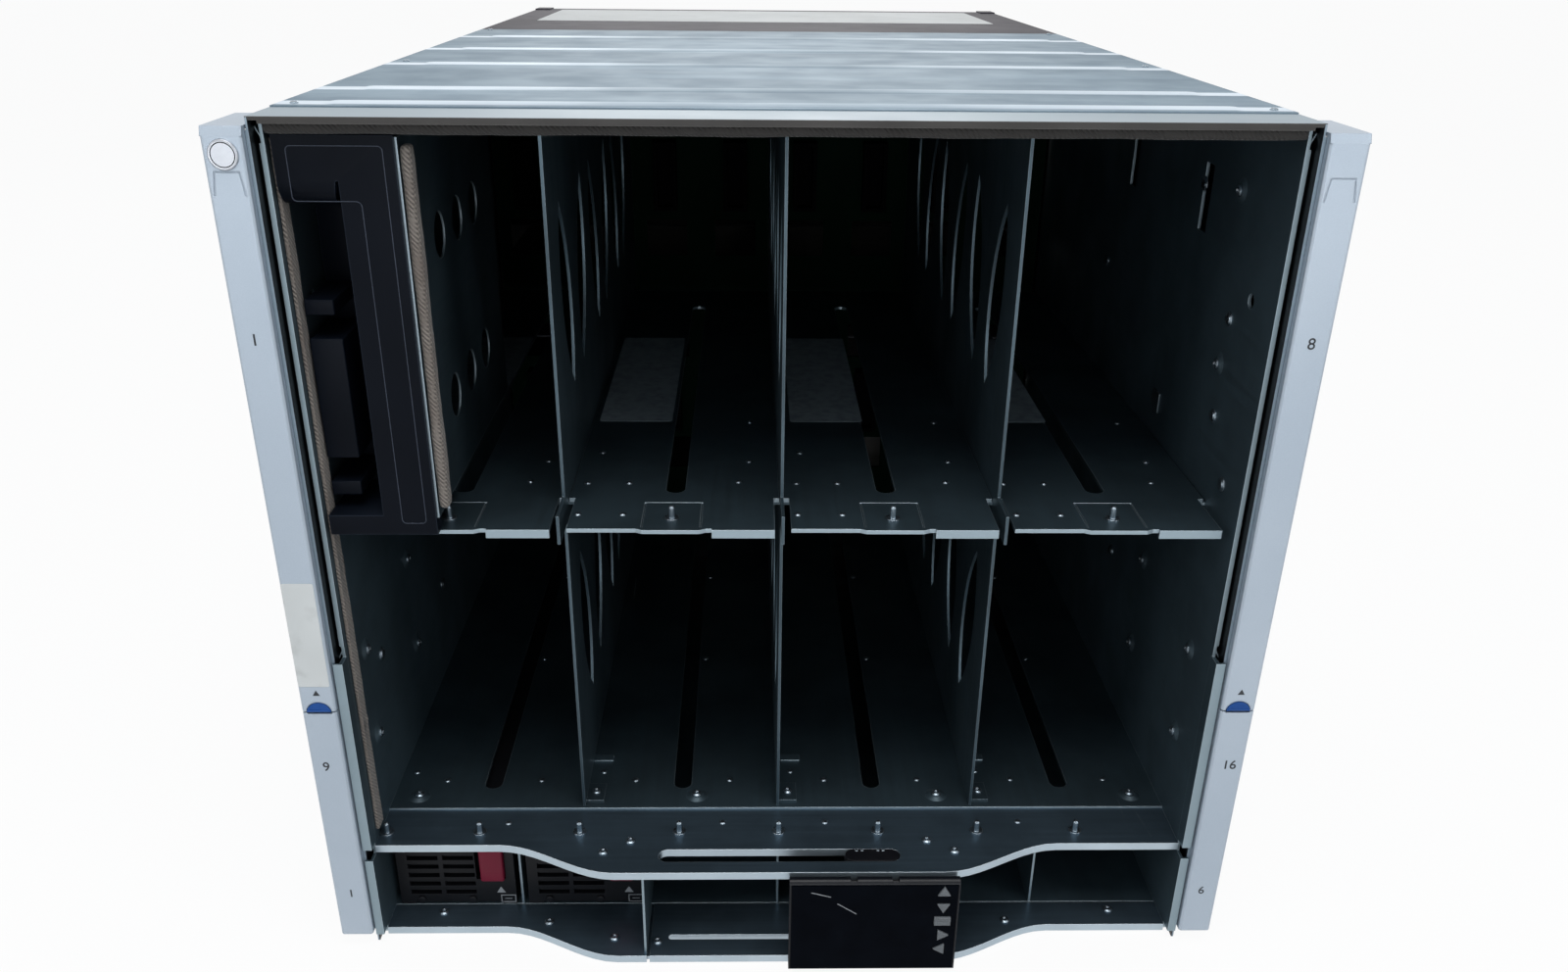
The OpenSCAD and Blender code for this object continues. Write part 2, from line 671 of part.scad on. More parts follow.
// The moulded front: a head, a rail and a foot round a hollow grip
module blade_blank() {
    x0 = blank_x[0];
    x1 = blank_x[1];
    head_z = blank_z[1] - blank_head_h;
    foot_z = blank_z[0] + blank_foot_h;
    rail_x = x1 - blank_rail_w;
    color("#15181d") {
        difference() {
            block([x0, x1], [blank_y, blank_y + blank_d], blank_z);
            // The grip is open to the front and to the side wall
            block([x0 - 1, rail_x], [blank_y - 1, blank_y + blank_d - blank_wall], [foot_z, head_z]);
            // The lower corner passes over the shelf's guide pin
            block([x1 - 2.5, x1 + 1], [shelf_pin_y - 5, blank_y + blank_d + 1], [blank_z[0] - 1, shelf_z + pin_h + 1]);
            // The recessed panel on the head and the groove down the rail
            block([x0 + 6, x1 - 6], [blank_y - 1, blank_y + 0.6], [blank_z[1] - 24, blank_z[1] - 4]);
            block([rail_x + 9, x1 - 6], [blank_y - 1, blank_y + 0.6], [blank_z[0] + 14, blank_z[1] - 20]);
            // The back of the moulding is hollow
            block([rail_x + blank_wall, x1 - blank_wall], [blank_y + 4, blank_y + blank_d + 1],
                [blank_z[0] + blank_wall, blank_z[1] - blank_wall]);
            block([x0 + blank_wall, rail_x + blank_wall + 1], [blank_y + 4, blank_y + blank_d + 1],
                [head_z + blank_wall, blank_z[1] - blank_wall]);
        }
        // The rounded underside of the head
        difference() {
            translate([x0, blank_y + blank_head_r, head_z]) rotate([0, 90, 0])
                cylinder(r = blank_head_r, h = rail_x - x0);
            block([x0 - 1, rail_x + 1], [blank_y - 2, blank_y + 40], [head_z, head_z + 40]);
            translate([x0 - 1, blank_y + blank_head_r, head_z]) rotate([0, 90, 0])
                cylinder(r = blank_head_r - blank_wall, h = rail_x - x0 + 2);
        }
        // Ribs and the grip block inside the hollow
        for (z = [[foot_z + 95, foot_z + 101], [foot_z + 26, foot_z + 84], [foot_z + 7, foot_z + 14]])
            block([x0, x0 + 11.5], [blank_y + 9, blank_y + blank_d - blank_wall], z);
    }
}

module blade_blank_plate() {
    x = blank_x[1];
    color("slategray") difference() {
        block([x, x + plate_t], [blank_y + 2, blank_y + 2 + blank_plate_d],
            [shelf_z + pin_h + 1.2, blank_z[1] - 1]);
        block([x - 1, x + plate_t + 1], [blank_y + 24, blank_y + 28], [blank_z[1] - 116, blank_z[1] - 82]);
        for (y = [60:40:blank_plate_d - 30]) for (z = [blank_z[0] + 50, blank_z[1] - 54])
            translate([x - 1, blank_y + y, z]) rotate([0, 90, 0]) cylinder(r = 11, h = plate_t + 2);
    }
}

module blade_blank_gasket() {
    x = blank_x[1] + plate_t;
    color("rosybrown") translate([0, 0, blank_z[0] + 12]) linear_extrude(blank_z[1] - blank_z[0] - 16)
        intersection() {
            translate([x, blank_y + 2 + gasket_w / 2]) scale([5.4 / (gasket_w / 2), 1]) circle(r = gasket_w / 2);
            translate([x, blank_y]) square([10, 2 * gasket_w]);
        }
}

// ---------------------------------------------------------------- display

display_gap = 1;
display_back = lip_centre_y - display_gap;
display_front = display_back - display_t;
display_z = [base_t, apron_z];
display_x1 = slider_slot_half - 0.6 + 30.5;
display_x = [display_x1 - display_w, display_x1];
display_hinge_r = 1;
hinge_y = display_back - display_t / 2;
hinge_z = display_z[1] - display_t / 2;
arm_t = 3;
slider_x = [slider_slot_half - 0.6 - slider_w, slider_slot_half - 0.6];
slider_mid = (slider_x[0] + slider_x[1]) / 2;
foot_x = [slider_x[0] + 5, slider_x[1] - 5];
arm_xs = [slider_x[0] + 2, slider_x[1] - 2 - arm_t];
arm_z = hinge_z - 6.5;
slider_y = [foot_slot_y - foot_slot_w / 2 + 0.3, foot_slot_y + foot_slot_w / 2 - 0.3];

// The slider that runs in both slots and carries the display's hinge
module display_slider() {
    color("#101114") {
        block(slider_x, slider_y, [sill_z + 0.1, apron_z - lip_h - 1]);
        // A foot runs in the sill's slot and a shoe rests on the sill
        block(foot_x, slider_y, [base_t - 1.2, sill_z + 1]);
        block([slider_x[0] + 2, slider_x[1] - 2], [foot_slot_y - 4, foot_slot_y + 4], [sill_z + 0.1, sill_z + 2]);
        // The head fills the apron's slot, and a flange below it stays under the slot's rim
        translate([0, 0, apron_z - lip_h - 1]) linear_extrude(lip_h + 1.3)
            slot_x(slider_w / 2, slider_slot_w - 2 * (slot_rim_t + clear), slider_mid, slider_slot_y);
        block(slider_x, [slider_slot_y - slider_slot_w / 2 - 1, slider_slot_y + slider_slot_w / 2 + 1],
            [apron_z - lip_h - 2.3, apron_z - lip_h - 0.1]);
        for (x = arm_xs) {
            block([x, x + arm_t], [hinge_y, slider_y[0]], [arm_z - 1.5, arm_z + 2]);
            block([x, x + arm_t], [hinge_y - 1.8, hinge_y + 1.8], [arm_z - 1.5, hinge_z]);
            translate([x, hinge_y, hinge_z]) rotate([0, 90, 0]) cylinder(r = 1.8, h = arm_t);
        }
        translate([arm_xs[0] - 4, hinge_y, hinge_z]) rotate([0, 90, 0])
            cylinder(r = display_hinge_r, h = arm_xs[1] - arm_xs[0] + arm_t + 8);
    }
}

module display_housing() {
    notch = arm_t + 2 * clear;
    color("#16181c") difference() {
        union() {
            block(display_x, [display_front, display_back], [display_z[0], hinge_z]);
            translate([display_x[0], hinge_y, hinge_z]) rotate([0, 90, 0]) cylinder(r = display_t / 2, h = display_w);
        }
        // Openings for the slider's two arms
        for (x = arm_xs) block([x - clear, x - clear + notch], [display_front + 1, display_back + 1],
            [arm_z - 3, display_z[1] + 1]);
        translate([arm_xs[0] - 4.3, hinge_y, hinge_z]) rotate([0, 90, 0])
            cylinder(r = display_hinge_r + 0.05, h = arm_xs[1] - arm_xs[0] + arm_t + 8.6);
        // The holes that the buttons travel in
        for (i = [1:5]) button_shape(i, display_front - 1, display_front + 3.4, clear);
    }
}

button_x = display_x[1] - 8.5;
button_pitch = 9.6;
button_zs = [for (i = [1:5]) display_z[1] - 6.6 - (i - 1) * button_pitch];
button_travel = 0.8;
lens_t = 0.8;

// A button's outline: two point up and down, one is oblong, two point right and left
module button_shape(i, y0, y1, grow = 0) {
    r = 4 + 1.7 * grow;
    turn = [90, -90, 0, 0, 180][i - 1];
    translate([button_x, y1, button_zs[i - 1]]) rotate([90, 0, 0]) linear_extrude(y1 - y0)
        if (i == 3) translate([-4.4 - grow, -2.8 - grow]) square([8.8 + 2 * grow, 5.6 + 2 * grow]);
        else rotate(turn) circle(r = r, $fn = 3);
}

module display_lens() {
    color("#0b0c10") difference() {
        block([display_x[0] + 1, display_x[1] - 1], [display_front - lens_t, display_front],
            [display_z[0] + 1, hinge_z + 1]);
        for (i = [1:5]) button_shape(i, display_front - 2, display_front + 1, clear);
    }
}

module display_button(i) {
    color("gray") button_shape(i, display_front - lens_t - 1, display_front + 2.2);
}

module display_button_1() { display_button(1); }
module display_button_2() { display_button(2); }
module display_button_3() { display_button(3); }
module display_button_4() { display_button(4); }
module display_button_5() { display_button(5); }

// ---------------------------------------------------------------- rear

cage_y = [bay_d + 16, body_d - 1];
cage_t = 1.5;
lower_fan_z = floor_z;
management_z = lower_fan_z + fan_bay_h + cage_t;
interconnect_z = management_z + management_h + cage_t;
upper_fan_z = rail_z - 6 - fan_bay_h;
interconnect_pitch = (upper_fan_z - cage_t - interconnect_z) / 4;

module rear_cage() {
    color("#2a2d33") {
        both_sides() block([half_in, half_in + wall_t], cage_y, [base_t, cover_z]);
        for (z = [floor_z - cage_t, management_z - cage_t, interconnect_z - cage_t, upper_fan_z - cage_t,
            upper_fan_z + fan_bay_h])
            block([-half_in, half_in], cage_y, [z, z + cage_t]);
        // The top is closed down to the upper fans
        block([-half_in, half_in], [cage_y[1] - 2, cage_y[1]], [upper_fan_z + fan_bay_h + cage_t, cover_z]);
        block([-half_in, half_in], [cage_y[0], cage_y[0] + 2], [upper_fan_z + fan_bay_h + cage_t, cover_z]);
    }
}

module rear_dividers() {
    color("#2a2d33") {
        for (i = [-1.5:1:1.5]) for (z = [lower_fan_z, upper_fan_z])
            block([i * fan_pitch - cage_t / 2, i * fan_pitch + cage_t / 2], cage_y, [z, z + fan_bay_h]);
        block([-cage_t / 2, cage_t / 2], cage_y, [interconnect_z, upper_fan_z - cage_t]);
        for (i = [1:3]) for (s = [-1, 1]) {
            z = interconnect_z + i * interconnect_pitch;
            block([s > 0 ? cage_t / 2 : -half_in, s > 0 ? half_in : -cage_t / 2], cage_y, [z - 0.6, z + 0.6]);
        }
        for (s = [-1, 1]) block([s * zone_pitch / 2 - cage_t / 2, s * zone_pitch / 2 + cage_t / 2],
            cage_y, [management_z, interconnect_z - cage_t]);
    }
}

// A cover for an unused rear bay: a plate with a rim, air slots and a finger hole
module bay_cover(x, z, w, h) {
    y1 = cage_y[1];
    difference() {
        block([x - w / 2, x + w / 2], [y1 - 22, y1], [z - h / 2, z + h / 2]);
        block([x - w / 2 + 1.5, x + w / 2 - 1.5], [y1 - 23, y1 - 1.5], [z - h / 2 + 1.5, z + h / 2 - 1.5]);
        translate([x, y1 + 1, z]) rotate([90, 0, 0]) linear_extrude(4) children();
    }
}

module interconnect_blanks() {
    w = half_in - cage_t / 2 - 1;
    h = interconnect_pitch - 2.4;
    color("#3a3d42") for (s = [-1, 1]) for (i = [0:3])
        bay_cover(s * (half_in / 2 + cage_t / 4), interconnect_z + i * interconnect_pitch + min(i, 1) * 0.6 + h / 2,
            w, h) {
            slot_x(9, 12);
            for (k = [-1, 1]) for (r = [-1, 0, 1]) slot_x(28, 2.6, k * 55, r * 6);
        }
}

fan_w = fan_pitch - cage_t - 1.4;
fan_h = fan_bay_h - 1;
duct_r = fan_w / 2 - duct_wall;
fan_places = [for (z = [lower_fan_z, upper_fan_z]) for (i = [-2:2]) [i * fan_pitch, z + fan_h / 2]];
fitted = [0, 1, 5, 6];

module fan_blanks() {
    color("#3a3d42") for (k = [0:9]) if (len([for (f = fitted) if (f == k) f]) == 0)
        bay_cover(fan_places[k][0], fan_places[k][1], fan_w, fan_h) {
            slot_x(14, 16);
            for (r = [-3, -2, 2, 3]) slot_x(30, 4, 0, r * 12);
        }
}

hub_r = 15;
shaft_r = 3;
stator_d = 20;
rotor_d = 34;
fan_end = body_d + 3;

// One fan module: its duct, its guard, its motor and its handle
module fan_module(x, z) {
    difference() {
        block([x - fan_w / 2, x + fan_w / 2], [fan_end - fan_d, fan_end], [z - fan_h / 2, z + fan_h / 2]);
        rod_y(duct_r, [fan_end - fan_d - 1, fan_end + 1], x, z);
    }
    rod_y(hub_r, [fan_end - stator_d, fan_end - 2], x, z);
    rod_y(shaft_r, [fan_end - stator_d - rotor_d - 4, fan_end - stator_d], x, z);
    for (r = [22, 30]) translate([x, fan_end - 3, z]) rotate([90, 0, 0])
        rotate_extrude($fn = 48) translate([r, 0]) circle(r = 1.1, $fn = 16);
    for (a = [0:60:300]) translate([x, fan_end - 3.6, z]) rotate([0, a, 0])
        block([hub_r - 1, duct_r + 1], [-0.9, 0.9], [-1.2, 1.2]);
    for (a = [30:120:270]) translate([x, fan_end - 12, z]) rotate([0, a, 0])
        block([hub_r - 1, duct_r + 1], [-5, 5], [-1.2, 1.2]);
    block([x - 26, x + 26], [fan_end, fan_end + 2], [z + fan_h / 2 - 12, z + fan_h / 2 - 2]);
}

module fan_modules() {
    color("#2f3238") for (k = fitted) fan_module(fan_places[k][0], fan_places[k][1]);
}

// One fan rotor: a hub with curved blades round it
module fan_rotor(k) {
    p = fan_places[fitted[k - 1]];
    mid = fan_end - stator_d - rotor_d / 2 - 1;
    tip = duct_r - 1.5;
    translate([p[0], mid, p[1]]) {
        difference() {
            rod_y(hub_r, [-rotor_d / 2 + 1, rotor_d / 2]);
            rod_y(shaft_r + 0.05, [-rotor_d, rotor_d]);
        }
        for (i = [0:rotor_blades - 1]) rotate([0, i * 360 / rotor_blades, 0])
            intersection() {
                translate([hub_r - 1.5, 0, 0]) rotate([90, 0, 90]) linear_extrude(tip - hub_r + 1.5)
                    rotate(38) difference() {
                        translate([0, -22]) circle(r = 26);
                        translate([0, -22]) circle(r = 24.4);
                        translate([-40, -60]) square([80, 53]);
                    }
                rod_y(tip, [-rotor_d / 2, rotor_d / 2]);
            }
    }
}

module fan_rotor_1() { color("#17191d") fan_rotor(1); }
module fan_rotor_2() { color("#17191d") fan_rotor(2); }
module fan_rotor_3() { color("#17191d") fan_rotor(3); }
module fan_rotor_4() { color("#17191d") fan_rotor(4); }

module_d = 180;
link_d = 120;
port_w = 15;
port_d = 14;

// The management row: a module with its ports, the link module and a cover
module management_modules() {
    y1 = cage_y[1];
    w = half_in - zone_pitch / 2 - cage_t / 2 - 1;
    xc = (half_in + zone_pitch / 2) / 2 + cage_t / 4;
    h = management_h - 1.2;
    z = management_z + h / 2;
    color("#4a4d52") {
        difference() {
            block([-xc - w / 2, -xc + w / 2], [y1 - module_d, y1], [z - h / 2, z + h / 2]);
            for (i = [0, 1]) translate([-xc - 10 + 1.3 * i * port_w, y1 - port_d, z - 6])
                cube([port_w, port_d + 1, 13]);
            translate([-xc - 34, y1 - port_d, z - 3]) cube([port_w - 2, port_d + 1, 6]);
        }
        difference() {
            block([-zone_pitch / 2 + cage_t / 2 + 0.5, zone_pitch / 2 - cage_t / 2 - 0.5], [y1 - link_d, y1],
                [z - h / 2, z + h / 2]);
            for (i = [-1, 1]) translate([(0.8 * i - 0.5) * port_w, y1 - port_d, z - 6])
                cube([port_w, port_d + 1, 13]);
        }
        bay_cover(xc, z, w, h) for (k = [-1, 1]) slot_x(24, 4, k * 34);
    }
}

inlet_w = 34;
inlet_h = 26;

module power_inlet_panel() {
    y1 = cage_y[1];
    color("#3a3d42") difference() {
        block([-half_in, half_in], [y1 - 1.5, y1], [base_t, floor_z - cage_t]);
        for (i = [-2.5:1:2.5]) block([i * psu_pitch - inlet_w / 2, i * psu_pitch + inlet_w / 2],
            [y1 - 3, y1 + 1], [24 - inlet_h / 2, 24 + inlet_h / 2]);
        for (i = [-2.5:1:2.5]) for (k = [-2:2])
            translate([0, y1 + 1, 0]) rotate([90, 0, 0]) linear_extrude(4) slot_x(5, 3, i * psu_pitch + k * 12, 48);
    }
}

module power_inlets() {
    y1 = cage_y[1];
    color("#111214") for (i = [-2.5:1:2.5]) {
        x = i * psu_pitch;
        difference() {
            union() {
                block([x - inlet_w / 2 + 0.1, x + inlet_w / 2 - 0.1], [y1 - 30, y1 + 1.5],
                    [24 - inlet_h / 2 + 0.1, 24 + inlet_h / 2 - 0.1]);
                block([x - inlet_w / 2 - 6, x + inlet_w / 2 + 6], [y1, y1 + 1.5],
                    [24 - inlet_h / 2 - 1.5, 24 + inlet_h / 2 + 1.5]);
            }
            block([x - 13, x + 13], [y1 - 22, y1 + 2], [14.5, 33.5]);
        }
        for (p = [[-7, -3], [7, -3], [0, 4]])
            block([x + p[0] - 1, x + p[0] + 1], [y1 - 23, y1 - 4], [24 + p[1] - 3, 24 + p[1] + 3]);
    }
}

// ---------------------------------------------------------------- screws

screw_r = 2.7;
screw_h = 1.3;
dimple_h = 1.2;
sill_screws = [[-190, 17], [-129, 8.6], [-91, -4], [-67, -7], [91, -4], [129, 8.6], [190, 17]];
cover_screw_ys = [rail_step_y + 8, bay_d / 2, cover_join_y - 9];

// A button-head screw with a six-sided socket, seated on a surface that faces up
module button_screw() {
    difference() {
        union() {
            cylinder(r = screw_r, h = screw_h / 2);
            translate([0, 0, screw_h / 2]) cylinder(r1 = screw_r, r2 = screw_r * 0.7, h = screw_h / 2);
        }
        translate([0, 0, screw_h / 2]) cylinder(r = screw_r * 0.42, h = screw_h, $fn = 6);
    }
}

module panel_screws() {
    color("silver") {
        both_sides() for (p = apron_screws) translate([p[0], p[1], apron_z]) button_screw();
        for (p = sill_screws) translate([p[0], p[1], sill_z]) button_screw();
        for (x = dimple_xs) translate([x, partition_y + 9, floor_z + dimple_h]) button_screw();
        for (i = [-1:1]) translate([i * zone_pitch + partition_t / 2 + foot_w / 2, partition_y + 3 + foot_d / 2,
            floor_z + partition_t]) button_screw();
        both_sides() for (d = wall_dimples) translate([half_in - dimple_h, d[0], d[1]]) rotate([0, -90, 0])
            button_screw();
        // The cover is screwed down along both sides
        both_sides() for (y = cover_screw_ys) translate([half_w - 8, y, cover_z + cover_t])
            scale(0.7) button_screw();
    }
}

base_plate();
front_sill();
left_side_panel();
right_side_panel();
left_bay_wall();
right_bay_wall();
top_front_rail();
front_top_cover();
rear_top_cover();
front_apron();
bay_floor();
guide_pins();
zone_partition_left();
zone_partition_centre();
zone_partition_right();
bay_shelf_1();
bay_shelf_2();
bay_shelf_3();
bay_shelf_4();
top_gasket();
wall_gasket();
midplane_board();
midplane_connectors();
psu_tray();
psu_dividers();
upper_left_bezel();
upper_right_bezel();
lower_left_bezel();
lower_right_bezel();
left_release_tab();
right_release_tab();
blade_blank();
blade_blank_plate();
blade_blank_gasket();
power_supply_1();
power_supply_2();
psu_latch_1();
psu_latch_2();
display_slider();
display_housing();
display_lens();
display_button_1();
display_button_2();
display_button_3();
display_button_4();
display_button_5();
rear_cage();
rear_dividers();
interconnect_blanks();
fan_blanks();
fan_modules();
fan_rotor_1();
fan_rotor_2();
fan_rotor_3();
fan_rotor_4();
management_modules();
power_inlet_panel();
power_inlets();
panel_screws();
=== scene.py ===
"""The dressed model of a ten-unit blade chassis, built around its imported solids."""

import math

import bpy
from mathutils import Matrix, Vector


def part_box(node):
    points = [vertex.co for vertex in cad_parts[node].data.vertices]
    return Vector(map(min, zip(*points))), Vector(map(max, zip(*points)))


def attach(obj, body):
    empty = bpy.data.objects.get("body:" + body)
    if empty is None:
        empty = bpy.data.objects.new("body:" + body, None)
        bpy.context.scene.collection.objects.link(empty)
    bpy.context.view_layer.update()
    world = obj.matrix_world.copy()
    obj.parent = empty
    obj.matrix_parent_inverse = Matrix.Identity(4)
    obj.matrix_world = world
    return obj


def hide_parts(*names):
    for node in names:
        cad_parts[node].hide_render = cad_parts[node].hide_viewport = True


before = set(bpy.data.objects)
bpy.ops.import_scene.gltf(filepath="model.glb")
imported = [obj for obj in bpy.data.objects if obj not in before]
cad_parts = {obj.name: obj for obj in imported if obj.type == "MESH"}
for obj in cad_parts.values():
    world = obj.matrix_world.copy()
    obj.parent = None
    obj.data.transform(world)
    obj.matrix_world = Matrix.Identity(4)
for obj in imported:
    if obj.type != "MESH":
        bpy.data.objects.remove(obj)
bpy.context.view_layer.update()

# ---------------------------------------------------------------- camera, floor and lights
# The chassis stands on a plain pale floor, seen from a little above its front edge,
# under one broad lamp from above and softer ones from the sides, the back and the front.

scene = bpy.context.scene
scene.view_settings.view_transform = "Standard"

eye = bpy.data.cameras.new("eye")
eye.sensor_width = 36
eye.lens = 29.02
eye.shift_x = 0.0090
eye.shift_y = 0.0333
eye.clip_start = 0.01
camera = bpy.data.objects.new("eye", eye)
scene.collection.objects.link(camera)
look_down, look_aside, lean = 0.446024, -0.019665, 0.0095446
camera.matrix_world = (Matrix.Translation((-0.01735, -0.54408, 0.50949))
                       @ Matrix.Rotation(look_aside, 4, "Z")
                       @ Matrix.Rotation(math.pi / 2 - look_down, 4, "X")
                       @ Matrix.Rotation(lean, 4, "Z"))
scene.camera = camera


class Wire:
    """One value between nodes. Sums written with it become Math nodes."""

    def __init__(self, nodes, socket):
        self.nodes, self.socket = nodes, socket

    def sum(self, operation, first, second=0.0):
        return self.nodes.node("ShaderNodeMath", {"operation": operation}, {0: first, 1: second})

    def __add__(self, other): return self.sum("ADD", self, other)
    def __radd__(self, other): return self.sum("ADD", other, self)
    def __sub__(self, other): return self.sum("SUBTRACT", self, other)
    def __rsub__(self, other): return self.sum("SUBTRACT", other, self)
    def __mul__(self, other): return self.sum("MULTIPLY", self, other)
    def __rmul__(self, other): return self.sum("MULTIPLY", other, self)
    def __abs__(self): return self.sum("ABSOLUTE", self)
    def __neg__(self): return self.sum("MULTIPLY", self, -1)

    def held(self):
        """The value kept between 0 and 1."""
        return self.nodes.node("ShaderNodeClamp", {}, {"Value": self})


class Nodes:
    """A node tree, and the one method that adds to it."""

    def __init__(self, tree, end):
        tree.nodes.clear()
        self.tree = tree
        self.end = self.node(end, {}, {}, None)

    def node(self, kind, settings, sockets, out=0):
        """Adds a node with its settings, and gives each socket a value or a wire.

        It comes back as a wire from one of its outputs, or as itself if that is None.
        """
        made = self.tree.nodes.new(kind)
        for key, value in settings.items():
            setattr(made, key, value)
        for key, value in sockets.items():
            entry = made.inputs[key] if isinstance(key, int) else next(
                s for s in made.inputs if key in (s.identifier, s.name))
            if isinstance(value, Wire):
                self.tree.links.new(value.socket, entry)
            else:
                entry.default_value = value
        if out is None:
            return made
        return Wire(self, made.outputs[out] if isinstance(out, int) else next(
            s for s in made.outputs if out in (s.identifier, s.name)))

    def show(self, wire):
        """Makes a shader what the tree shows."""
        self.tree.links.new(wire.socket, self.end.inputs[0])

    def seen(self):
        """1 for what is seen straight on, mirrored in a surface or through it."""
        straight, mirrored, through = (
            self.node("ShaderNodeLightPath", {}, {}, "Is %s Ray" % kind)
            for kind in ("Camera", "Glossy", "Transmission"))
        return (straight + mirrored + through).held()


class Finish(Nodes):
    """A surface finish: one Principled shader and the nodes that vary it."""

    def __init__(self, name, **fixed):
        self.material = bpy.data.materials.new(name)
        self.material.use_nodes = True
        super().__init__(self.material.node_tree, "ShaderNodeOutputMaterial")
        self.body = self.node("ShaderNodeBsdfPrincipled", {}, {})
        self.shader = self.body.socket.node
        self.show(self.body)
        self.place = self.node("ShaderNodeTexCoord", {}, {}, "Object")
        for socket, value in fixed.items():
            self.shader.inputs[socket.replace("_", " ")].default_value = value

    def give(self, socket, wire):
        """Lets a wire vary one socket of the shader."""
        self.tree.links.new(wire.socket, self.shader.inputs[socket])

    def blend(self, share, first, second, way="MIX"):
        """Goes from the first colour to the second with the share."""
        return self.node("ShaderNodeMix", {"data_type": "RGBA", "blend_type": way}, {
            "Factor_Float": share, "A_Color": first, "B_Color": second}, "Result_Color")

    def stretched(self, x, y, z, turn=0.0):
        """The place on the piece, scaled along each axis and turned about z."""
        return self.node("ShaderNodeMapping", {}, {
            "Vector": self.place, "Rotation": (0, 0, turn), "Scale": (x, y, z)})

    def part(self, vector, axis):
        """One part of a vector, from 0 for x to 2 for z."""
        return self.node("ShaderNodeSeparateXYZ", {}, {0: vector}, axis)

    def cloud(self, size, detail=3, along=None):
        """Soft patches of about the given size in metres, from 0 to 1."""
        return self.node("ShaderNodeTexNoise", {}, {
            "Vector": along or self.place, "Scale": 1 / size, "Detail": detail})

    def between(self, wire, low, high):
        """0 below low, 1 above high, and smooth between them."""
        return self.node("ShaderNodeMapRange", {"interpolation_type": "SMOOTHSTEP"},
                         {"Value": wire, "From Min": low, "From Max": high})

    def edges(self, radius, strength):
        """Where the surface turns within the radius, from 0 to 1."""
        round_normal = self.node("ShaderNodeBevel", {"samples": 4}, {"Radius": radius})
        flat_normal = self.node("ShaderNodeNewGeometry", {}, {}, "True Normal")
        near = self.node("ShaderNodeVectorMath", {"operation": "DOT_PRODUCT"},
                         {0: round_normal, 1: flat_normal}, "Value")
        return ((1 - near) * strength).held()

    def scratches(self, spacing, width, share, turn=0.6):
        """Fine lines left by handling, on the given share of the surface."""
        lines = self.node("ShaderNodeTexVoronoi", {"feature": "DISTANCE_TO_EDGE"},
                          {"Vector": self.stretched(1, 0.22, 0.5, turn), "Scale": 1 / spacing})
        thin = 1 - self.between(lines, 0.0, width)
        return thin * self.between(self.cloud(spacing * 2.2, 4), 1 - share, 1.12 - share)

    def over(self, share, colour):
        """Lays a colour over the base colour, on the given share of the surface."""
        under = Wire(self, self.shader.inputs["Base Color"].links[0].from_socket)
        self.give("Base Color", self.blend(share, under, colour))

    def facing(self, axis, sign):
        """1 where the surface faces along the axis, up it or down it by the sign."""
        normal = self.node("ShaderNodeNewGeometry", {}, {}, "True Normal")
        return self.between(self.part(normal, axis) * sign, 0.25, 0.75)

    def relief(self, height, depth, radius=0.0004):
        """Turns a height into the surface's normal, on softly rounded edges."""
        soft = self.node("ShaderNodeBevel", {"samples": 4}, {"Radius": radius})
        self.give("Normal", self.node("ShaderNodeBump", {}, {"Height": height, "Distance": depth,
                                                             "Strength": 1.0, "Normal": soft}))


# The floor is a pale matt sheet, large enough to fill the view
bpy.ops.object.select_all(action="DESELECT")
bpy.ops.mesh.primitive_plane_add(size=30, location=(0, 0, -0.0004))
floor = bpy.context.object
floor.name = "studio_floor"
bpy.ops.object.transform_apply(location=True, rotation=True, scale=True)
pale = Finish("pale_floor", Roughness=0.8)
pale.give("Base Color", pale.blend(pale.cloud(0.4), (0.86, 0.86, 0.86, 1), (0.89, 0.89, 0.89, 1)))
glow = pale.node("ShaderNodeEmission", {}, {"Color": (1, 1, 1, 1), "Strength": 1.0})
pale.show(pale.node("ShaderNodeMixShader", {}, {0: pale.seen() * 0.94, 1: pale.body, 2: glow}))
floor.data.materials.append(pale.material)

# White all round where it is seen, and a faint cool sky for the light
world = bpy.data.worlds.new("studio")
scene.world = world
world.use_nodes = True
air = Nodes(world.node_tree, "ShaderNodeOutputWorld")
sky = air.node("ShaderNodeBackground", {}, {"Color": (0.80, 0.90, 1.0, 1), "Strength": 0.34})
white = air.node("ShaderNodeBackground", {}, {"Color": (1, 1, 1, 1)})
air.show(air.node("ShaderNodeMixShader", {}, {0: air.seen(), 1: sky, 2: white}))


def lamp(name, place, aim, width, height, watts, colour=(1, 1, 1)):
    """A soft rectangular lamp that points at its aim."""
    light = bpy.data.lights.new(name, "AREA")
    light.shape = "RECTANGLE"
    light.size, light.size_y, light.energy, light.color = width, height, watts, colour
    holder = bpy.data.objects.new(name, light)
    scene.collection.objects.link(holder)
    holder.location = place
    holder.rotation_euler = (Vector(aim) - Vector(place)).to_track_quat("-Z", "Y").to_euler()


cool = (0.93, 0.97, 1)
lamp("lamp_above", (0.0, -0.55, 1.9), (0, 0.15, 0.3), 1.3, 0.9, 17)
lamp("lamp_left", (-1.7, -1.0, 1.0), (0, 0.2, 0.25), 0.8, 1.2, 5.5, cool)
lamp("lamp_right", (1.7, -1.0, 1.0), (0, 0.2, 0.25), 0.8, 1.2, 8, cool)
lamp("lamp_behind", (0.0, 2.6, 1.3), (0, 0.6, 0.3), 1.2, 0.9, 9)
lamp("lamp_front", (0.0, -1.8, 0.25), (0, 0, 0.2), 1.8, 0.4, 7, cool)

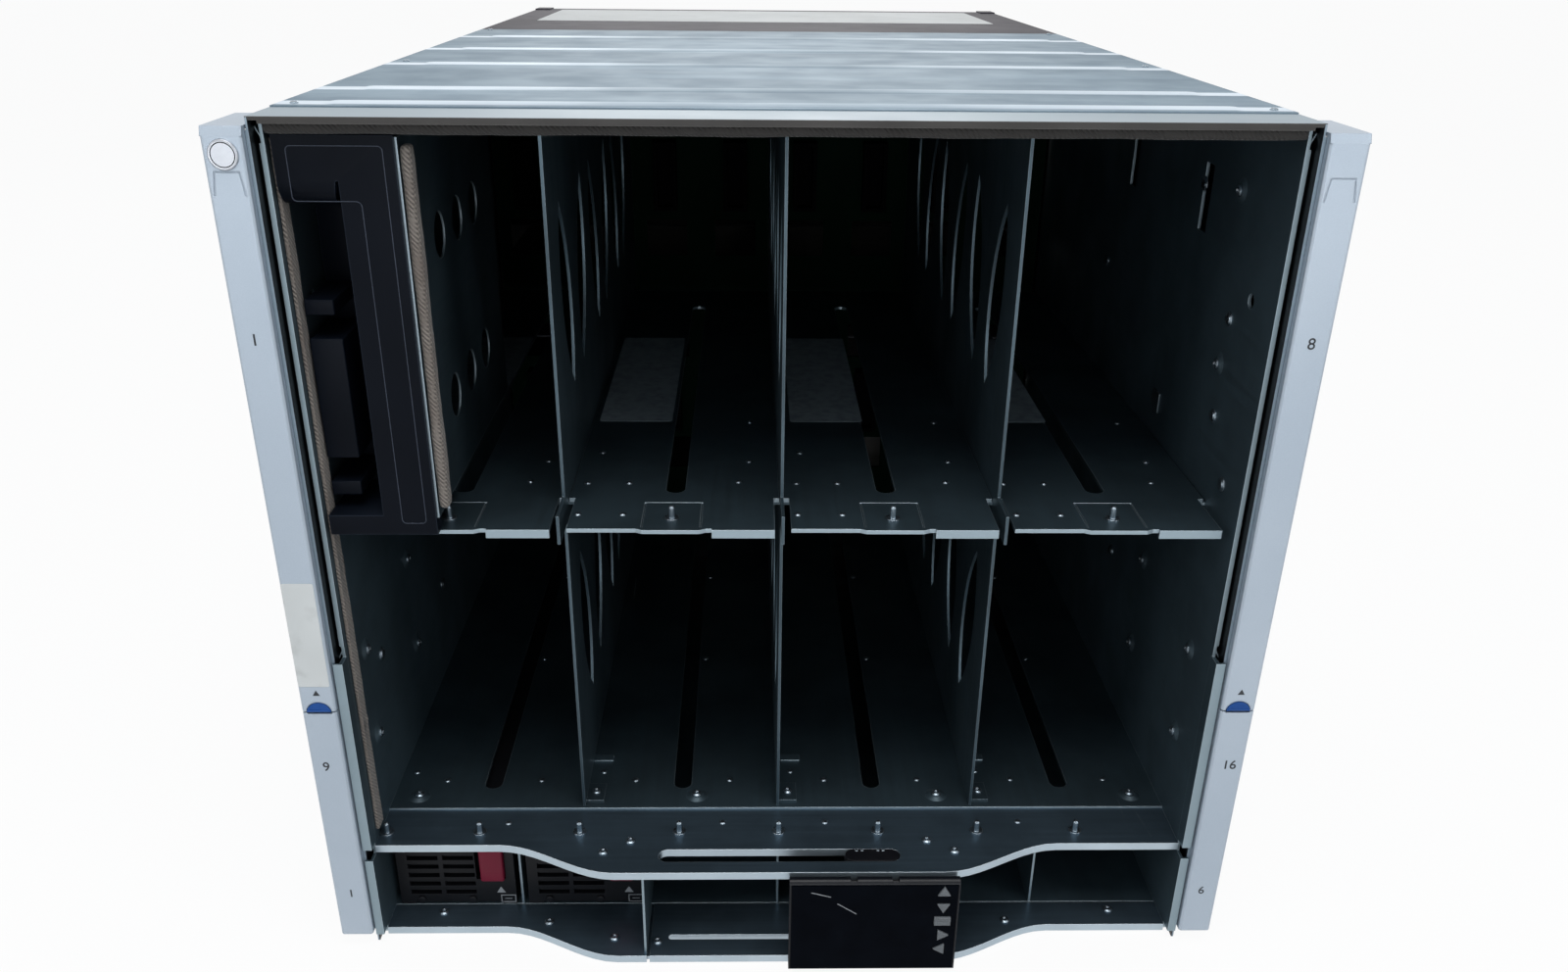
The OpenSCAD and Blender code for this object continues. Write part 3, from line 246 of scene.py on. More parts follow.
# ---------------------------------------------------------------- base plate, sill and apron
# The bottom of the chassis is a zinc-plated steel plate with a folded sill, and a second
# folded plate, the apron, carries the slot that the display slides in. Both have hemmed lips.


def dress(finish, *nodes):
    """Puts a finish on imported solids."""
    for name in nodes:
        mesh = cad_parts[name].data
        mesh.materials.clear()
        mesh.materials.append(finish.material)
        if len(mesh.polygons):
            mesh.polygons.foreach_set("material_index", [0] * len(mesh.polygons))


def dimmed(colour, share):
    """The colour with only that share of its light."""
    return tuple(part * share for part in colour[:3]) + (1,)


def rolled_steel(name, colour, bright, rough, metal, along="x", edge=0.55, tint=0.35):
    """Sheet steel: rolled grain, cloudy plating, handling marks and bare bright edges."""
    steel = Finish(name, Metallic=metal)
    run = {"x": (12, 420, 420), "y": (420, 12, 420), "z": (420, 420, 12)}[along]
    grain = steel.cloud(1.0, 2, steel.stretched(*run))
    patches = steel.cloud(0.055, 4)
    marks = steel.scratches(0.05, 0.012, 0.3)
    body = steel.blend(steel.between(patches, 0.32, 0.68), colour, dimmed(colour, 1 - tint))
    body = steel.blend((grain * 0.5).held(), body, bright, "SOFT_LIGHT")
    body = steel.blend((marks * 0.5).held(), body, bright)
    turn = steel.edges(0.0006, 2.4)
    steel.give("Base Color", steel.blend((turn * edge).held(), body, bright))
    unevenness = (patches - 0.5) * 0.22 + (grain - 0.5) * 0.10 - marks * 0.08
    steel.give("Roughness", (unevenness + rough).held())
    steel.relief(grain * 0.6 + marks * -0.8 + patches * 0.5, 0.00006)
    return steel


zinc = rolled_steel("zinc_plate", (0.105, 0.150, 0.190, 1), (0.85, 0.92, 0.97, 1),
                    0.36, 0.82, edge=0.9)
# The faces that look to the front, the folded lips above all, are painted lighter in patches: a
# painted highlight
zinc.over(zinc.facing(1, -1) * (0.45 + zinc.cloud(0.05) * 0.4), (0.60, 0.70, 0.77, 1))
dress(zinc, "base_plate", "front_sill", "front_apron")

# ---------------------------------------------------------------- side panels
# The two outer sides are folded from plated steel, with the rack flanges at their
# front edge, and are spot welded to the base.

side_steel = rolled_steel("side_plate", (0.22, 0.27, 0.31, 1), (0.72, 0.79, 0.85, 1),
                          0.42, 0.8, "y", tint=0.12)
# Inside, in the deep gap beside the bay walls, the panels are painted near black: painted shade in
# the gap
inner_face = -abs(side_steel.part(side_steel.place, 0))
side_steel.over(side_steel.between(inner_face, -0.2228, -0.2225), (0.004, 0.005, 0.007, 1))
dress(side_steel, "left_side_panel", "right_side_panel")

# ---------------------------------------------------------------- bay walls
# Inner walls of darker plated steel line the device bays. They are pressed with
# round bosses for screws, and their front edges are folded outwards.

bay_steel = rolled_steel("bay_steel", (0.088, 0.128, 0.152, 1), (0.60, 0.70, 0.76, 1),
                         0.46, 0.74, "y", 0.75)
# The faces that look to the front are painted lighter: a painted highlight
bay_steel.over(bay_steel.facing(1, -1) * 0.4, (0.48, 0.59, 0.65, 1))
dress(bay_steel, "left_bay_wall", "right_bay_wall")

# ---------------------------------------------------------------- top rail and covers
# The top is closed by a rail and a cover of zinc-plated steel with pressed beads, and
# behind it by a dark coated cover that has a bare pale label.

cover_zinc = Finish("cover_zinc", Metallic=0.25, Specular_IOR_Level=0.12)
grain = cover_zinc.cloud(1.0, 2, cover_zinc.stretched(9, 380, 380))
spangle = cover_zinc.cloud(0.03, 4)
reflection_streaks = cover_zinc.cloud(1.0, 3, cover_zinc.stretched(5, 30, 1))
across = abs(cover_zinc.part(cover_zinc.place, 0))
along = cover_zinc.part(cover_zinc.place, 1)
ends = cover_zinc.between(across, 0.03, 0.19)
# A painted highlight lies on the crest of each pressed bead, strongest near its ends
bead_ys = (0.0420, 0.0998, 0.2261, 0.3288, 0.4349)
beads = 0.0
for bead_y in bead_ys:
    beads = cover_zinc.between(-abs(along - bead_y), -0.0078, -0.0052) + beads
bead_highlight = (beads * (0.18 + ends * 0.8) * (0.55 + reflection_streaks * 0.6)).held()
sheet = cover_zinc.blend(cover_zinc.between(spangle, 0.3, 0.7),
                         (0.20, 0.27, 0.325, 1), (0.155, 0.215, 0.265, 1))
# Lighter streaks along the sheet are painted reflections
sheet = cover_zinc.blend((cover_zinc.between(reflection_streaks, 0.42, 0.72) * 0.35).held(),
                         sheet, (0.36, 0.46, 0.54, 1))
cover_zinc.give("Base Color", cover_zinc.blend(bead_highlight, sheet, (0.80, 0.88, 0.95, 1)))
cover_zinc.give("Roughness", (0.55 + (spangle - 0.5) * 0.2 - bead_highlight * 0.15).held())
cover_zinc.relief(grain * 0.5 + spangle * 0.6, 0.00006, 0.0012)
dress(cover_zinc, "front_top_cover")

# The rail's top faces are painted pale, a painted highlight from above, and the rail is dark brown
# in front
rail_steel = rolled_steel("rail_steel", (0.040, 0.037, 0.035, 1), (0.26, 0.25, 0.24, 1), 0.5, 0.3)
rail_steel.over(rail_steel.facing(2, 1), (0.30, 0.36, 0.40, 1))
dress(rail_steel, "top_front_rail")


def coated(name, colour, bright, rough, gleam=0.22):
    """Painted or powder-coated metal: fine orange peel, thin dust and rubbed edges."""
    paint = Finish(name, Specular_IOR_Level=gleam)
    orange = paint.cloud(0.0011, 2)
    drift = paint.cloud(0.09, 4)
    haze = paint.between(paint.cloud(0.02, 5), 0.45, 0.8) * 0.25
    body = paint.blend(paint.between(drift, 0.3, 0.7), colour, dimmed(colour, 0.78))
    body = paint.blend((haze * 0.25).held(), body, bright)
    turn = paint.edges(0.0006, 2.0)
    paint.give("Base Color", paint.blend((turn * 0.3).held(), body, bright))
    paint.give("Roughness", (rough + haze * 0.3 + (drift - 0.5) * 0.1).held())
    paint.relief(orange, 0.00003)
    return paint


dark_coat = coated("dark_coat", (0.022, 0.018, 0.028, 1), (0.16, 0.16, 0.20, 1), 0.6, 0.15)
dress(dark_coat, "rear_top_cover")


def block(name, low, high, round_by=0.0, steps=3):
    """A block between two corners in millimetres, with its edges rounded."""
    bpy.ops.object.select_all(action="DESELECT")
    bpy.ops.mesh.primitive_cube_add(size=1, location=[(a + b) / 2000 for a, b in zip(low, high)])
    piece = bpy.context.object
    piece.name = piece.data.name = name
    piece.scale = [(b - a) / 1000 for a, b in zip(low, high)]
    bpy.ops.object.transform_apply(location=True, rotation=True, scale=True)
    if round_by:
        bpy.ops.object.mode_set(mode="EDIT")
        bpy.ops.mesh.select_all(action="SELECT")
        bpy.ops.mesh.bevel(offset=round_by / 1000, segments=steps)
        bpy.ops.object.mode_set(mode="OBJECT")
    bpy.ops.object.shade_smooth_by_angle(angle=math.radians(38))
    return piece


def pick(kind):
    """Lets one kind of element be picked by itself, with none picked yet."""
    bpy.ops.object.mode_set(mode="EDIT")
    bpy.ops.mesh.select_mode(type=kind)
    bpy.ops.mesh.select_all(action="DESELECT")
    bpy.ops.object.mode_set(mode="OBJECT")


def pick_edges(piece, wanted):
    """Picks the edges whose two ends, in millimetres, pass the test, and goes into edit mode."""
    pick("EDGE")
    for edge in piece.data.edges:
        a, b = (piece.data.vertices[v].co * 1000 for v in edge.vertices)
        edge.select = wanted(a, b)
    bpy.ops.object.mode_set(mode="EDIT")


def pick_faces(piece, wanted):
    """Picks the faces whose normal passes the test, and goes into edit mode."""
    pick("FACE")
    for face in piece.data.polygons:
        face.select = wanted(face.normal)
    bpy.ops.object.mode_set(mode="EDIT")


def plate(name, low, high, corner, steps=4):
    """A flat plate between two corners in millimetres, with its own corners rounded."""
    piece = block(name, low, high)
    thin = min(range(3), key=lambda i: high[i] - low[i])
    pick_edges(piece, lambda a, b: abs(a[thin] - b[thin]) > (high[thin] - low[thin]) / 2)
    bpy.ops.mesh.bevel(offset=corner / 1000, segments=steps)
    bpy.ops.mesh.select_all(action="SELECT")
    bpy.ops.mesh.bevel(offset=(high[thin] - low[thin]) / 5000, segments=1)
    bpy.ops.mesh.select_mode(type="FACE")
    bpy.ops.object.mode_set(mode="OBJECT")
    return piece


def fit(piece, finish, body):
    """Gives a piece its finish and lets it ride on its body."""
    piece.data.materials.clear()
    piece.data.materials.append(finish.material)
    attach(piece, body)
    return piece


def again(piece, name, x=0.0, y=0.0, z=0.0):
    """A copy with its own mesh, moved by millimetres."""
    copy = piece.copy()
    copy.data = piece.data.copy()
    copy.name = copy.data.name = name
    scene.collection.objects.link(copy)
    copy.data.transform(Matrix.Translation((x / 1000, y / 1000, z / 1000)))
    return copy


def pick_up(*pieces):
    """Makes these the only pieces that the next operator works on, the first one above all."""
    bpy.ops.object.select_all(action="DESELECT")
    for piece in pieces:
        piece.select_set(True)
    bpy.context.view_layer.objects.active = pieces[0]


def joined(name, pieces):
    """Several meshes made into one piece."""
    pick_up(*pieces)
    bpy.ops.object.join()
    pieces[0].name = pieces[0].data.name = name
    return pieces[0]


# The bare label on the rear cover
paper = Finish("bare_label", Roughness=0.62)
stain = paper.cloud(0.012, 5)
sun = paper.cloud(0.08, 3)
tone = paper.blend(paper.between(sun, 0.3, 0.75), (0.62, 0.63, 0.62, 1), (0.52, 0.53, 0.52, 1))
spotted = (paper.between(stain, 0.55, 0.8) * 0.35).held()
paper.give("Base Color", paper.blend(spotted, tone, (0.30, 0.30, 0.29, 1)))
paper.relief(stain, 0.00002)
cover_label = plate("rear_cover_label", (-198, 625, 441), (194, 792, 441.2), 3)
fit(cover_label, paper, "chassis")

# ---------------------------------------------------------------- floor, shelves and partitions
# Dark plated sheets divide the bays: a floor, four shelves with folded front lips, and
# three pressed truss partitions. Turned steel pins guide the blades.

shelf_steel = rolled_steel("shelf_steel", (0.064, 0.094, 0.112, 1), (0.66, 0.76, 0.82, 1),
                           0.42, 0.74, "y", 0.8)
# The faces that look to the front are painted lighter: a painted highlight
shelf_steel.over(shelf_steel.facing(1, -1) * 0.5, (0.50, 0.61, 0.68, 1))
dress(shelf_steel, "bay_floor", "bay_shelf_1", "bay_shelf_2", "bay_shelf_3", "bay_shelf_4")
truss_steel = rolled_steel("truss_steel", (0.064, 0.094, 0.112, 1), (0.42, 0.50, 0.56, 1),
                           0.42, 0.74, "z", 0.6)
dress(truss_steel, "zone_partition_left", "zone_partition_centre", "zone_partition_right")
pin_steel = rolled_steel("pin_steel", (0.25, 0.30, 0.34, 1), (0.8, 0.85, 0.9, 1), 0.28, 0.95, "z")
dress(pin_steel, "guide_pins", "panel_screws")


def drum(name, sides, radius, depth, centre, turn=0.0):
    """A round blank, in metres, that stands up or is turned about the x axis."""
    bpy.ops.object.select_all(action="DESELECT")
    bpy.ops.mesh.primitive_cylinder_add(vertices=sides, radius=radius, depth=depth,
                                        location=centre, rotation=(turn, 0, 0))
    piece = bpy.context.object
    piece.name = piece.data.name = name
    bpy.ops.object.transform_apply(location=True, rotation=True, scale=True)
    return piece


# Rivets and weld spots, one modelled and set out over the sheets
rivet = drum("rivet", 14, 0.0019, 0.0007, (0, 0, 0.00035))
pick_faces(rivet, lambda n: n.z > 0.9)
bpy.ops.mesh.bevel(offset=0.0005, segments=2)
bpy.ops.mesh.inset(thickness=0.0004, depth=-0.0002)
bpy.ops.object.mode_set(mode="OBJECT")
bpy.ops.object.shade_smooth_by_angle(angle=math.radians(40))

zone_pitch, shelf_top, floor_top, apron_top = 109.5, 248, 63, 62
# Across and back in millimetres, on the second shelf and on the floor in front of each zone
shelf_rivets = [(-101.8, 30), (-79.5, 30), (-101.3, 69.7), (-79.6, 69.8), (-22.0, 71.4),
                (-16.5, 100.3), (-16.0, 162), (-98, 113)]
floor_rivets = [(-27.5, 62), (27.2, 62), (-47, 70), (9, 199), (9, 320)]
apron_rivets = [(-150, 24), (-31, 24), (26, 24), (134, 24)]
spots = [(x + (zone - 1) * zone_pitch, y, shelf_top) for zone in range(4) for x, y in shelf_rivets]
spots += [((zone - 1.5) * zone_pitch + x, y, floor_top)
          for zone in range(4) for x, y in floor_rivets]
spots += [(x, y, apron_top) for x, y in apron_rivets]

# Bosses on the bay walls, back and up in millimetres, and a tab on the right wall
inner_x = -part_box("bay_floor")[0].x * 1000
right_bosses = ((58, 341), (57.5, 291), (281, 318), (32, 264), (120, 395), (190, 150))
left_bosses = ((60, 150), (110, 205), (200, 120))
bosses = []
for side, places in ((1, right_bosses), (-1, left_bosses)):
    turned = again(rivet, "turned")
    turned.data.transform(Matrix.Rotation(-side * math.pi / 2, 4, "Y") @ Matrix.Scale(1.9, 4))
    bosses += [again(turned, "boss", side * inner_x, y, z) for y, z in places]
    bpy.data.objects.remove(turned)
bosses.append(plate("guide_tab", (inner_x - 1, 140, 262), (inner_x, 152, 274), 1))
fit(joined("wall_bosses", bosses), pin_steel, "chassis")
rivets = joined("sheet_rivets", [again(rivet, "rivet", *p) for p in spots])
fit(rivets, pin_steel, "chassis")

# Weld spots in four rows on each side panel
outer_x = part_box("front_top_cover")[1].x * 1000
weld_rows, weld_ys = (9, 140, 300, 431), range(45, 800, 84)
weld_spots = []
for side in (-1, 1):
    turned = again(rivet, "turned")
    turned.data.transform(Matrix.Rotation(side * math.pi / 2, 4, "Y"))
    weld_spots += [again(turned, "weld", side * outer_x, y, z) for z in weld_rows for y in weld_ys]
    bpy.data.objects.remove(turned)
fit(joined("side_rivets", weld_spots), pin_steel, "chassis")
bpy.data.objects.remove(rivet)

# Bare guide labels on the shelves, painted dark grey as painted shade, and small stop plates on the
# floor
shelf_label = plate("shelf_label_2", (-105, 163, shelf_top), (-62, 334, shelf_top + 0.2), 2)
labels = [again(shelf_label, "shelf_label_%d" % shelf, x)
          for shelf, x in ((1, -107.5), (3, 112.8), (4, 222.6))]
shaded_paper = Finish("guide_label", Roughness=0.6)
blot = shaded_paper.cloud(0.006, 4)
shaded_paper.give("Base Color", shaded_paper.blend(
    shaded_paper.between(blot, 0.35, 0.75), (0.30, 0.34, 0.36, 1), (0.19, 0.22, 0.24, 1)))
shaded_paper.relief(blot, 0.00003)
for piece in [shelf_label] + labels:
    fit(piece, shaded_paper, "chassis")
stops = [plate("stop", (x - 6, 80, floor_top), (x + 6, 86, floor_top + 1), 1)
         for x in (-103, 8, 118)]
fit(joined("floor_stops", stops), bay_steel, "chassis")

# ---------------------------------------------------------------- gaskets
# Shielding gaskets of woven metallised cloth over foam are glued under the rail, on the
# left wall and on the blank's plate.


def woven(name, dark, pale_colour, dirt):
    """Metallised cloth: two crossing sets of threads, with soil in patches."""
    weave = Finish(name, Roughness=0.75, Sheen_Weight=0.15)
    warp, weft = (weave.node("ShaderNodeTexWave", {"bands_direction": "DIAGONAL"}, {
        "Vector": vector, "Scale": scale, "Distortion": 1.5, "Detail": 2.0}, 1)
        for vector, scale in ((weave.place, 260.0), (weave.stretched(-1, 1, -1), 300.0)))
    thread = warp * 0.5 + weft * 0.5
    soil = weave.cloud(0.02, 4)
    cloth = weave.blend(thread, dark, pale_colour)
    weave.give("Base Color", weave.blend((weave.between(soil, 0.4, 0.8) * 0.6).held(), cloth, dirt))
    weave.give("Metallic", (thread * 0.35).held())
    weave.relief(thread + soil * 1.4, 0.00035)
    return weave


def gasket(name, node, body, crown, cloth):
    """A soft strip in the place of its node: rounded, with a slight wander along it."""
    low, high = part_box(node)
    strip = block(name, low * 1000, high * 1000, crown, 4)
    long = max(range(3), key=lambda i: high[i] - low[i])
    pick_edges(strip, lambda a, b: abs(a[long] - b[long]) > 50)
    bpy.ops.mesh.subdivide(number_cuts=60)
    bpy.ops.object.mode_set(mode="OBJECT")
    for vertex in strip.data.vertices:
        t = vertex.co[long]
        wave = math.sin(t * 61) * 0.5 + math.sin(t * 143 + 1) * 0.3 + math.sin(t * 411 + 2) * 0.2
        vertex.co -= vertex.normal * (0.0003 + 0.0003 * wave)
    fit(strip, cloth, body)
    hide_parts(node)


pale_weave = woven("woven_gasket", (0.060, 0.050, 0.045, 1), (0.27, 0.235, 0.205, 1),
                   (0.10, 0.075, 0.062, 1))
# A much darker copy of the same cloth is painted shade, for the gasket under the rail
shaded_weave = woven("shaded_gasket", (0.005, 0.0045, 0.004, 1), (0.022, 0.019, 0.017, 1),
                   (0.010, 0.008, 0.007, 1))
gasket("rail_gasket_strip", "top_gasket", "chassis", 2.0, shaded_weave)
gasket("wall_gasket_strip", "wall_gasket", "chassis", 0.8, pale_weave)
gasket("blank_gasket_strip", "blade_blank_gasket", "blank", 2.4, pale_weave)

# ---------------------------------------------------------------- midplane
# A green circuit board stands upright behind the bays, across the whole width. A black
# moulded connector is pressed into it for each blade.

# Its green is darkened almost to black: painted shade, deep behind the bays
board = Finish("board_green", Roughness=0.6, Specular_IOR_Level=0.02)
tracks = board.node("ShaderNodeTexBrick", {"offset": 0.5}, {
    "Vector": board.stretched(1, 0, 1), "Scale": 130.0, "Mortar Size": 0.03,
    "Color1": (0.0008, 0.005, 0.003, 1), "Color2": (0.001, 0.007, 0.004, 1),
    "Mortar": (0.004, 0.016, 0.009, 1)})
board.give("Base Color", board.blend(board.cloud(0.05), tracks, (0.0007, 0.004, 0.002, 1)))
board.relief(board.cloud(0.002, 2), 0.00003)
dress(board, "midplane_board")


def moulded(name, colour, pale_colour, rough, edge=0.25, gleam=0.22):
    """Moulded plastic: fine spark texture, faint scuffs and lighter edges, which are wear and, with
    a large edge share, painted highlights.
    """
    plastic = Finish(name, Specular_IOR_Level=gleam)
    spark = plastic.cloud(0.0007, 2)
    drift = plastic.cloud(0.04, 4)
    marks = plastic.scratches(0.03, 0.014, 0.2, 1.1)
    body = plastic.blend(plastic.between(drift, 0.3, 0.7), colour, dimmed(colour, 0.8))
    body = plastic.blend((marks * 0.35).held(), body, pale_colour)
    turn = plastic.edges(0.0008, 2.0)
    plastic.give("Base Color", plastic.blend((turn * edge).held(), body, pale_colour))
    plastic.give("Roughness", (rough + (drift - 0.5) * 0.14 + marks * 0.15).held())
    plastic.relief(spark + marks * -0.5, 0.00004)
    return plastic


black_plastic = moulded("connector_black", (0.0015, 0.0015, 0.002, 1), (0.010, 0.010, 0.012, 1),
                        0.6, gleam=0.02)
dress(black_plastic, "midplane_connectors")

# ---------------------------------------------------------------- power bays
# Six bays under the apron, two of them with a black painted power supply that has a
# louvred face. A maroon moulded latch frees each supply.

dress(bay_steel, "psu_tray", "psu_dividers")
supply_black = coated("supply_black", (0.0075, 0.008, 0.010, 1), (0.07, 0.07, 0.08, 1), 0.42,
                      gleam=0.15)
dress(supply_black, "power_supply_1", "power_supply_2")
supply_pitch = 73


def corners(node):
    """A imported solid's lowest and highest corners, in millimetres."""
    return [corner * 1000 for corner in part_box(node)]


maroon = moulded("latch_maroon", (0.17, 0.006, 0.026, 1), (0.42, 0.10, 0.16, 1), 0.38)
for bay in (1, 2):
    low, high = corners("psu_latch_%d" % bay)
    latch_body = block("latch_body", low, high, 1.3)
    ridges = [block("ridge", (low.x + 2, low.y + 0.1, z), (high.x - 2, low.y + 1.2, z + 1),
                    0.35, 2) for z in (25.5, 28.0, 30.5)]
    latch = joined("release_latch_%d" % bay, [latch_body] + ridges)
    fit(latch, maroon, "latch_%d" % bay)
    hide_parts("psu_latch_%d" % bay)

# Slats behind the louvres, captive screws and plain pale marks on each face
print_grey = Finish("print_grey", Roughness=0.55)
print_grey.give("Base Color", print_grey.blend(print_grey.cloud(0.002),
                                               (0.30, 0.31, 0.33, 1), (0.18, 0.19, 0.2, 1)))
print_grey.relief(print_grey.cloud(0.001, 2), 0.00001)
slats = [block("slat", (-209.3 + column * 20, 25.5, 13.2 + row * 6.1),
               (-191.9 + column * 20, 29, 13.9 + row * 6.1), 0.25, 2)
         for column in (0, 1) for row in range(7)]
slats = joined("louvre_slats_1", slats)
fit(slats, supply_black, "supply_1")
fit(again(slats, "louvre_slats_2", supply_pitch), supply_black, "supply_2")
wedge = plate("wedge", (-160.6, 23.9, 12.6), (-155.4, 24.05, 16.6), 0.3)
for vertex in wedge.data.vertices:
    vertex.co.x = -0.158 + (vertex.co.x + 0.158) * (0.08 + 0.92 * (0.0166 - vertex.co.z) / 0.004)
# A rectangle of four bars with a fifth inside it: left, bottom, right and top of each
bars = [plate("bar", (left, 23.9, bottom), (right, 24.05, top), 0.2)
        for left, bottom, right, top in (
            (-158.5, 5.6, -149.9, 6.2), (-158.5, 10.4, -149.9, 11.0),
            (-158.5, 6.2, -157.9, 10.4), (-150.5, 6.2, -149.9, 10.4), (-156.3, 8.0, -152.1, 8.5))]
marks = joined("supply_marks_1", [wedge] + bars)
fit(marks, print_grey, "supply_1")
fit(again(marks, "supply_marks_2", supply_pitch), print_grey, "supply_2")
captive = drum("captive", 24, 0.0022, 0.0014, (-0.2035, 0.0236, 0.0082), math.pi / 2)
bpy.ops.object.mode_set(mode="EDIT")
bpy.ops.mesh.select_all(action="SELECT")
bpy.ops.mesh.bevel(offset=0.0004, segments=2)
bpy.ops.object.mode_set(mode="OBJECT")
bpy.ops.object.shade_smooth_by_angle(angle=math.radians(40))
pair = joined("supply_screws_1", [captive, again(captive, "captive", 29)])
fit(pair, supply_black, "supply_1")
fit(again(pair, "supply_screws_2", supply_pitch), supply_black, "supply_2")

# ---------------------------------------------------------------- bezels
# Two moulded bezels on each side cover the rack flanges, painted a satin silver. A blue
# tab in each seam frees the upper one.

satin = Finish("satin_silver", Metallic=0.55)
flake = satin.cloud(0.00055, 1)
drift = satin.cloud(0.12, 3)
rub = satin.scratches(0.035, 0.012, 0.22, 0.9)
tone = satin.blend(satin.between(drift, 0.3, 0.7), (0.40, 0.46, 0.53, 1), (0.35, 0.41, 0.48, 1))
tone = satin.blend((flake * 0.14).held(), tone, (0.8, 0.86, 0.92, 1))
satin.give("Base Color", satin.blend((rub * 0.45).held(), tone, (0.28, 0.32, 0.38, 1)))
satin.give("Roughness", (0.42 + (drift - 0.5) * 0.12 + rub * 0.15).held())
satin.relief(flake * 0.6 + rub * -0.4, 0.00002, 0.0009)
dress(satin, "upper_left_bezel", "upper_right_bezel", "lower_left_bezel", "lower_right_bezel")

tab_blue = moulded("tab_blue", (0.008, 0.065, 0.27, 1), (0.10, 0.22, 0.5, 1), 0.34)
dress(tab_blue, "left_release_tab", "right_release_tab")

ink = Finish("printed_ink", Roughness=0.5)
ink.give("Base Color", ink.blend(ink.cloud(0.0015),
                                 (0.005, 0.007, 0.012, 1), (0.02, 0.024, 0.03, 1)))
ink.relief(ink.cloud(0.001, 2), 0.000005)


def number(name, words, x, z, height, body):
    """A plain bay number printed on a bezel."""
    bpy.ops.object.select_all(action="DESELECT")
    bpy.ops.object.text_add(location=(0, 0, 0))
    text = bpy.context.object
    text.data.body = words
    text.data.size = height / 1000
    text.data.align_x, text.data.align_y = "CENTER", "CENTER"
    text.data.offset = 0.00006
    text.data.extrude = 0.00002
    bpy.ops.object.convert(target="MESH")
    print_piece = bpy.context.object
    print_piece.name = print_piece.data.name = name
    bpy.ops.object.mode_set(mode="EDIT")
    bpy.ops.mesh.select_all(action="SELECT")
    bpy.ops.mesh.remove_doubles(threshold=0.000001)
    bpy.ops.mesh.normals_make_consistent(inside=False)
    bpy.ops.object.mode_set(mode="OBJECT")
    print_piece.rotation_euler = (math.pi / 2, 0, 0)
    print_piece.location = (x / 1000, -0.00455, z / 1000)
    bpy.ops.object.transform_apply(location=True, rotation=True, scale=True)
    return fit(print_piece, ink, body)


# On each side the numbers of its outermost bays, upper, lower and power, and the tab's arrow
for side, upper, power, x in (("left", 1, 1, -233), ("right", 8, 6, 233)):
    number("number_upper_" + side, str(upper), x, 347, 7.5, side + "_bezel")
    number("number_lower_" + side, str(upper + 8), x * 1.004, 120.5, 7.5, "chassis")
    number("number_power_" + side, str(power), x * 0.997, 37, 7, "chassis")
    tab_x = math.copysign(232.75, x)
    arrow = drum("tab_arrow_" + side, 3, 0.0021, 0.00012,
                 (math.copysign(0.23275, x), -0.00452, 0.1648), math.pi / 2)
    bpy.ops.object.mode_set(mode="EDIT")
    bpy.ops.mesh.select_all(action="SELECT")
    bpy.ops.mesh.normals_make_consistent(inside=False)
    bpy.ops.mesh.bevel(offset=0.00004, segments=2)
    bpy.ops.object.mode_set(mode="OBJECT")
    fit(arrow, ink, side + "_bezel")
    # A moulded grip edge above the tab
    grip = block("tab_grip_" + side, (tab_x - 5, -5.3, 154.7), (tab_x + 5, -4.9, 155.7), 0.15, 2)
    fit(grip, tab_blue, side + "_tab")

# The bare rating plate and the bare badge on the left bezel
rating_plate = plate("rating_plate", (-240.9, -4.62, 169), (-225.4, -4.5, 227), 1)
fit(rating_plate, paper, "left_bezel")
badge = drum("bare_badge", 64, 0.0062, 0.0006, (-0.23275, -0.0052, 0.4258), math.pi / 2)
pick_faces(badge, lambda n: n.y < -0.9)
bpy.ops.mesh.bevel(offset=0.00025, segments=2)
bpy.ops.mesh.inset(thickness=0.0005, depth=-0.0002)
bpy.ops.mesh.inset(thickness=0.0016, depth=0.00012)
bpy.ops.object.mode_set(mode="OBJECT")
bpy.ops.object.shade_smooth_by_angle(angle=math.radians(40))
chrome = Finish("badge_chrome", Metallic=0.7)
ring = chrome.cloud(0.004)
chrome.give("Base Color", chrome.blend(ring, (0.46, 0.48, 0.52, 1), (0.58, 0.60, 0.64, 1)))
chrome.give("Roughness", (0.24 + ring * 0.12).held())
chrome.relief(ring, 0.00001)
fit(badge, chrome, "left_bezel")

# ---------------------------------------------------------------- blade blank
# The one fitted blank has a black moulded front, fixed to an upright sheet steel plate.
# The front is hollowed out on its left for the fingers.

# Its lighter bluish edges are partly wear and partly painted highlights
blank_black = moulded("blank_black", (0.0026, 0.0040, 0.0075, 1), (0.065, 0.085, 0.12, 1), 0.40,
                      edge=0.5, gleam=0.06)
dress(shelf_steel, "blade_blank_plate")


def cut(piece, cutter):
    """Takes the cutter's shape out of the piece."""
    pick_up(piece)
    tool = piece.modifiers.new("cut", "BOOLEAN")
    tool.operation, tool.solver, tool.object = "DIFFERENCE", "EXACT", cutter
    bpy.ops.object.modifier_apply(modifier="cut")
    bpy.data.objects.remove(cutter)


low, high = corners("blade_blank")
front, rail, head = low.y, high.x - 25, high.z - 30
blank = block("blank_front", low, high)
# The hollow grip, with a large curve at its back and under the head
hollow = block("hollow", (low.x - 12, front - 12, low.z + 10), (rail, high.y - 2, head))
pick_edges(hollow, lambda a, b: (abs(a.x - b.x) > 20 and a.y > 40 and a.z > 350)
           or (abs(a.z - b.z) > 90 and a.y > 40 and a.x > -200))
bpy.ops.mesh.bevel(offset=0.008, segments=6)
bpy.ops.object.mode_set(mode="OBJECT")
cut(blank, hollow)
